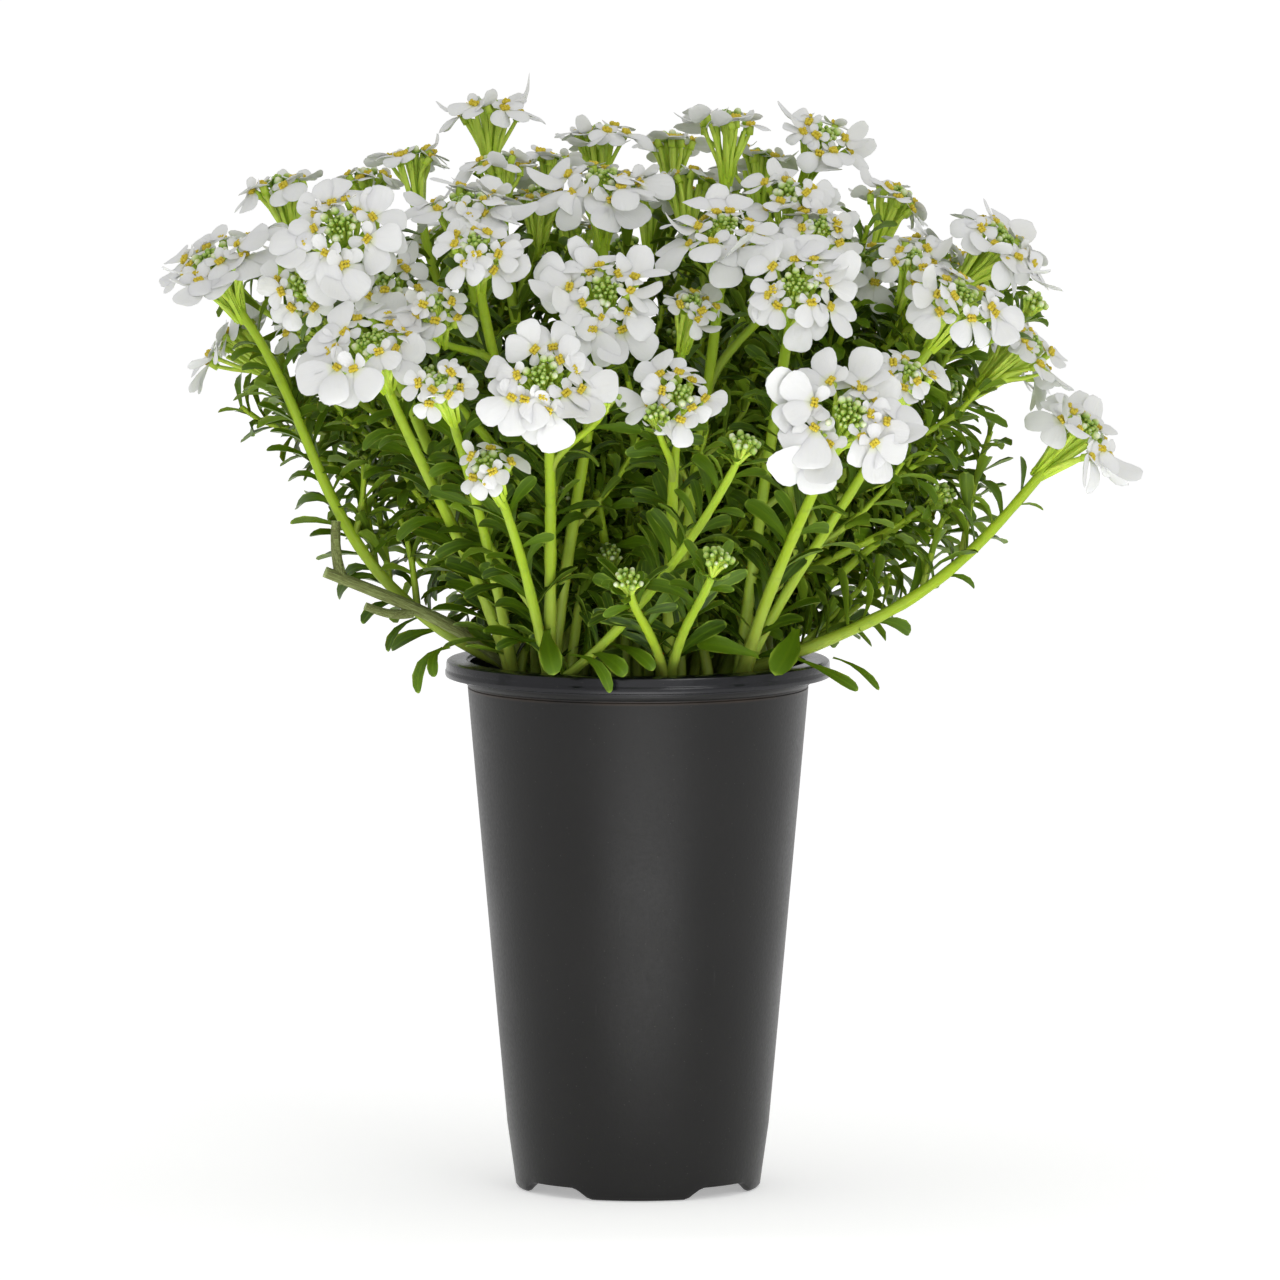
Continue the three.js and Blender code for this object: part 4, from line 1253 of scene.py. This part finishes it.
class CANDYTUFT_OT_pot(bpy.types.Operator):
    """Model the pot: a turned shell with a rolled rim, a neck, four feet and drain holes"""

    bl_idname = "candytuft.pot"
    bl_label = "Pot"

    def execute(self, context):
        settings = context.scene.candytuft_pot
        piece = turned_shell("nursery_pot", settings.sides, POT_PROFILE)
        self.close(FLOOR_TOP)
        self.close(FLOOR_HEIGHT)
        self.cut_feet()
        weld()
        bpy.ops.object.mode_set(mode="OBJECT")
        self.cut_drains(piece)
        red, green, blue = settings.colour
        wall = plastic_finish("pot_plastic", (red, green, blue), 0.31, (0.3, 0.44))
        # The rim is the same plastic as the wall; the bluish tint in its colour is a painted reflection.
        rim_colour_with_painted_reflection = (0.85 * red, 0.95 * green, 1.4 * blue)
        rim = plastic_finish("rim_plastic", rim_colour_with_painted_reflection, 0.38, (0.16, 0.26))
        piece.data.materials.append(wall)
        piece.data.materials.append(rim)
        for face in piece.data.polygons:
            face.material_index = int(face.center.z > RIM_FINISH_FROM)
        piece.data.transform(Matrix.Scale(MM, 4))
        finished(piece, ["pot"], angle=35)
        return {"FINISHED"}

    def close(self, height):
        """Draws the floor's open ring in to the axis, ring by ring."""
        pick(lambda place: abs(place.z - height) < 0.01 and abs(place.xy.length - FLOOR_EDGE) < 0.1)
        for radius, wide in zip(FLOOR_RINGS, FLOOR_RINGS[1:]):
            bpy.ops.mesh.extrude_edges_move()
            resize(wide / radius, wide / radius, 1, height)
        draw_in()

    def cut_feet(self):
        """Raises the wall's lower edge between its four feet."""
        mesh = bmesh.from_edit_mesh(bpy.context.object.data)
        sector = 360 / FEET
        for vert in mesh.verts:
            out = math.hypot(vert.co.x, vert.co.y)
            if vert.co.z > 3.5 or out < FOOT_INSIDE:
                continue
            turn = abs((math.degrees(math.atan2(vert.co.y, vert.co.x)) % sector) - sector / 2)
            share = min(1.0, max(0.0, (NOTCH_END - turn) / NOTCH_SLOPE))
            share = share * share * (3 - 2 * share)
            vert.co.z += share * NOTCH_HEIGHT * (1 - vert.co.z / FOOT_TOP)
        bmesh.update_edit_mesh(bpy.context.object.data)

    def cut_drains(self, piece):
        """Cuts a drain hole in the floor between each two feet."""
        for number in range(FEET):
            turn = (number + 0.5) * 2 * math.pi / FEET
            place = (DRAIN_PLACE * math.cos(turn), DRAIN_PLACE * math.sin(turn), 5)
            deselect()
            bpy.ops.mesh.primitive_cylinder_add(vertices=24, radius=DRAIN_RADIUS, depth=6, location=place)
            cutter = bpy.context.object
            piece.select_set(True)
            bpy.context.view_layer.objects.active = piece
            cut = piece.modifiers.new("drain", "BOOLEAN")
            cut.operation, cut.object, cut.solver = "DIFFERENCE", cutter, "EXACT"
            bpy.ops.object.modifier_apply(modifier=cut.name)
            bpy.data.objects.remove(cutter)


class CANDYTUFT_OT_soil(bpy.types.Operator):
    """Model the potting soil, with an uneven crumbly top"""

    bl_idname = "candytuft.soil"
    bl_label = "Soil"

    def execute(self, context):
        rings = [SOIL_RADIUS * (1 - share) for share in np.linspace(0, 0.98, SOIL_RINGS)]
        piece = turned_shell("potting_soil", 90, SOIL_SIDE + [(ring, SOIL_TOP) for ring in rings])
        draw_in()
        pick(lambda place: place.z < 7)
        draw_in()
        weld()
        bpy.ops.object.mode_set(mode="OBJECT")
        self.roughen(piece)
        earth = soil_finish()
        piece.data.transform(Matrix.Scale(MM, 4))
        piece.data.materials.append(earth)
        finished(piece, ["soil"], angle=60)
        self.scatter(earth)
        return {"FINISHED"}

    def roughen(self, piece):
        """Gives the soil's top low hills, which run out at its edge."""
        for vert in piece.data.vertices:
            if vert.co.z > SOIL_TOP - 1:
                edge = min(1.0, max(0.0, (SOIL_RADIUS - math.hypot(vert.co.x, vert.co.y)) / 4))
                hills = noise.fractal(vert.co * 0.11, 1.0, 2.0, 4) * 2.2
                vert.co.z += hills * edge + 0.6 * noise.noise(vert.co * 0.7) * edge - 0.4

    def scatter(self, earth):
        """Strews loose crumbs of the same earth on the soil."""
        copies = Copies()
        lumps = [lump_shape(0, seed) for seed in range(4)]
        chance = random.Random(CRUMBS_SEED)
        for number in range(CRUMBS):
            out = CRUMBS_REACH * math.sqrt((number + 0.5) / CRUMBS)
            turn = number * GOLDEN_ANGLE
            height = SOIL_TOP + chance.uniform(-0.8, 1.0)
            place = np.array([out * math.cos(turn), out * math.sin(turn), height])
            size = chance.uniform(1.2, 3.6)
            lump = lumps[number % len(lumps)]
            stretch = [chance.uniform(*ends) for ends in ((0.7, 1.6), (0.6, 1.0), (0.4, 0.8))]
            spin = np.array(Matrix.Rotation(chance.uniform(0, 6.3), 3, "Z"))
            copies.add(lump, place + (lump.points * size * stretch) @ spin.T, chance.random())
        copies.piece("soil_crumbs", [earth], "soil")


class CANDYTUFT_OT_shoots(bpy.types.Operator):
    """Model the sprays: woody crowns, stems, leaves and tufts of green buds"""

    bl_idname = "candytuft.shoots"
    bl_label = "Sprays"

    def execute(self, context):
        settings = context.scene.candytuft_plant
        shapes, materials = plant_shapes(), shoot_finishes()
        length, step = settings.leaf_length / MM, settings.leaf_step / MM
        for number, (crown, _) in enumerate(SPRAYS):
            copies = Copies()
            add_crown(copies, shapes, crown)
            for stem in (stem for stem in STEMS if stem.spray == number):
                spread = step * (1.25 if stem.place[0] > FAR_RIGHT_FROM else 1)
                leaves = (length, spread, STEM_LEAVES_ON)
                side_shoots = side_shoots_of(stem, settings.side_shoots)
                self.add_shoot(copies, shapes, stem, leaves, side_shoots, STEM_TUFT_RADIUS)
            if number == BRANCH_SPRAY:
                add_branch(copies, shapes)
            node = f"spray_{number + 1:02d}"
            copies.piece(f"{node}_shoots", materials, "leaf_green", [node])
        copies = Copies()
        leaves = (SIDE_STEM_LEAF, step, SIDE_STEM_LEAVES_ON)
        for stem in SIDE_STEMS:
            self.add_shoot(copies, shapes, stem, leaves, 0, SIDE_TUFT_RADIUS)
        copies.piece("side_shoots", materials, "leaf_green")
        self.add_leafy_shoots(shapes, materials, settings.shoots)
        return {"FINISHED"}

    def add_shoot(self, copies, shapes, stem, leaves, side_shoots, tuft_radius):
        """A stem with its leaves and side shoots, and with its tuft of buds where it has no head."""
        chance = random.Random(STEM_SEED + stem.number)
        add_stem(copies, shapes, stem, chance)
        add_leaves(copies, shapes["leaf"], stem.curve, stem.number, *leaves, chance, FORWARD_LIMIT)
        add_side_shoots(copies, shapes, stem, side_shoots, chance)
        if stem.radius is None:
            add_tuft(copies, shapes, stem.place, stem.normal, tuft_radius, stem.number)

    def add_leafy_shoots(self, shapes, materials, count):
        """The flowerless shoots and the single leaves at the rim, in four pieces by the quarter of the
        plant that they stand in."""
        quarters = [Copies() for _ in range(4)]
        wide = 1.85 - 0.6 * shapes["shoot"].points[:, 1]
        for number, curve in enumerate(leafy_shoots(count)):
            chance = random.Random(LEAFY_SHOOT_SEED + number)
            copies = quarters[int((math.atan2(curve[3][1], curve[3][0]) / (2 * math.pi)) % 1 * 4)]
            across = stem_axes(curve, unit(curve[3] - curve[0]))[0]
            copies.rod(shapes["shoot"], curve, across, wide, chance.random())
            add_leaves(copies, shapes["plain_leaf"], curve, number, *LEAFY_SHOOT_LEAVES, chance)
            if number % 5 == 2:
                _, (run,) = on_curve(curve, [1.0])
                tip = curve[3] + run * 2
                add_tuft(copies, shapes, tip, run, SHOOT_TUFT_RADIUS, FIRST_LEAFY_TUFT + number)
        for root, bend, tip, width in RIM_LEAVES:
            root, bend, tip = (np.array(point, float) for point in (root, bend, tip))
            across = unit(np.cross(tip - root, np.array([0, -0.8, 0.6])))
            copies = quarters[3] if root[0] > 0 else quarters[2]
            add_leaf(copies, shapes["leaf"], root, bend, tip, across, width / 2, 0.75)
        for number, copies in enumerate(quarters):
            copies.piece(f"leafy_shoots_{number + 1}", materials, "leaf_green")


class CANDYTUFT_OT_flowers(bpy.types.Operator):
    """Model the flower heads: white florets round green buds, each on its own stalk"""

    bl_idname = "candytuft.flowers"
    bl_label = "Flower heads"

    def execute(self, context):
        shapes, materials = plant_shapes(), flower_finishes()
        for number, head in enumerate(HEADS):
            node = f"head_{number + 1:02d}"
            self.add_piece(f"{node}_flowers", shapes, materials, [head], [node])
        self.add_piece("side_heads_flowers", shapes, materials, SIDE_HEAD_STEMS)
        return {"FINISHED"}

    def add_piece(self, name, shapes, materials, heads, nodes=()):
        copies = Copies()
        for head in heads:
            add_head(copies, shapes, head)
        copies.piece(name, materials, "petal_white", nodes)


class CANDYTUFT_OT_stage(bpy.types.Operator):
    """Set the pale floor, the soft lights and the camera"""

    bl_idname = "candytuft.stage"
    bl_label = "Stage"

    def execute(self, context):
        settings = context.scene.candytuft_stage
        self.lay_floor()
        world = bpy.data.worlds.new("studio")
        context.scene.world = world
        world.use_nodes = True
        world.node_tree.nodes["Background"].inputs[0].default_value = (1, 1, 1, 1)
        world.node_tree.nodes["Background"].inputs[1].default_value = 0.70
        self.add_lights()
        context.scene.view_settings.view_transform = "Standard"
        camera = bpy.data.cameras.new("camera")
        camera.lens, camera.sensor_width, camera.clip_end = 380, 36, 100
        target = Vector((0.0006, 0, 0.1708))
        back = Vector((0, -math.cos(settings.elevation), math.sin(settings.elevation)))
        context.scene.camera = self.put("camera", camera, target + back * settings.distance, -back)
        return {"FINISHED"}

    def lay_floor(self):
        """A wide pale floor, just under the pot's feet."""
        deselect()
        bpy.ops.mesh.primitive_circle_add(vertices=96, radius=40, fill_type="NGON", location=(0, 0, -0.0002))
        floor = bpy.context.object
        floor.name = floor.data.name = "floor"
        finish = Finish("pale_floor", Roughness=0.9, Specular_IOR_Level=0.1,
                        Emission_Color=(1, 1, 1, 1), Emission_Strength=0.38)
        cloud = finish.noise(finish.place(), 1.5, 2.0)
        finish.colour(finish.ramp(cloud, (0.3, (0.93, 0.93, 0.93)), (0.7, (0.95, 0.95, 0.95))))
        floor.data.materials.append(finish.material)

    def add_lights(self):
        """Two soft boxes in front, and a pool of light on the floor, which the pot's wall mirrors."""
        boxes = (("softbox", (0.4, -4.6, 1.25), 4.8, 2.4, 18), ("strip", (1.2, -2.0, 1.25), 1.2, 0.25, 6))
        for name, place, width, height, power in boxes:
            lamp = bpy.data.lights.new(name, "AREA")
            lamp.shape = "RECTANGLE"
            lamp.size, lamp.size_y, lamp.energy = width, height, power
            self.put(name, lamp, Vector(place), Vector((0, 0, 0.2)) - Vector(place))
        lamp = bpy.data.lights.new("floor_pool", "SPOT")
        lamp.energy, lamp.spot_size, lamp.spot_blend, lamp.shadow_soft_size = 235, 0.3, 0.8, 0.05
        self.put("floor_pool", lamp, Vector((0.034, -0.37, 1.5)))

    def put(self, name, data, place, way=None):
        """Puts a light or a camera at its place, looking one way, or else straight down."""
        holder = bpy.data.objects.new(name, data)
        bpy.context.scene.collection.objects.link(holder)
        holder.location = place
        if way is not None:
            holder.rotation_euler = way.to_track_quat("-Z", "Y").to_euler()
        return holder


class CANDYTUFT_PT_panel(bpy.types.Panel):
    """The candytuft's steps and settings"""

    bl_idname = "CANDYTUFT_PT_panel"
    bl_label = "Candytuft"
    bl_space_type = "VIEW_3D"
    bl_region_type = "UI"
    bl_category = "Candytuft"

    def draw(self, context):
        for group in SETTINGS:
            settings = getattr(context.scene, group)
            for name in settings.bl_rna.properties.keys():
                if name not in ("rna_type", "name"):
                    self.layout.prop(settings, name)
        for operator in OPERATORS:
            self.layout.operator(operator.bl_idname)


OPERATORS = (
    CANDYTUFT_OT_pot,
    CANDYTUFT_OT_soil,
    CANDYTUFT_OT_shoots,
    CANDYTUFT_OT_flowers,
    CANDYTUFT_OT_stage,
)
SETTINGS = {
    "candytuft_pot": PotSettings,
    "candytuft_plant": PlantSettings,
    "candytuft_stage": StageSettings,
}


def register():
    for made in (*SETTINGS.values(), *OPERATORS, CANDYTUFT_PT_panel):
        bpy.utils.register_class(made)
    for name, group in SETTINGS.items():
        setattr(bpy.types.Scene, name, bpy.props.PointerProperty(type=group))


def unregister():
    for name in SETTINGS:
        delattr(bpy.types.Scene, name)
    for made in (CANDYTUFT_PT_panel, *reversed(OPERATORS), *SETTINGS.values()):
        bpy.utils.unregister_class(made)


def main():
    register()
    bpy.ops.candytuft.stage()
    bpy.ops.candytuft.pot()
    bpy.ops.candytuft.soil()
    bpy.ops.candytuft.shoots()
    bpy.ops.candytuft.flowers()


if __name__ == "__main__":
    main()
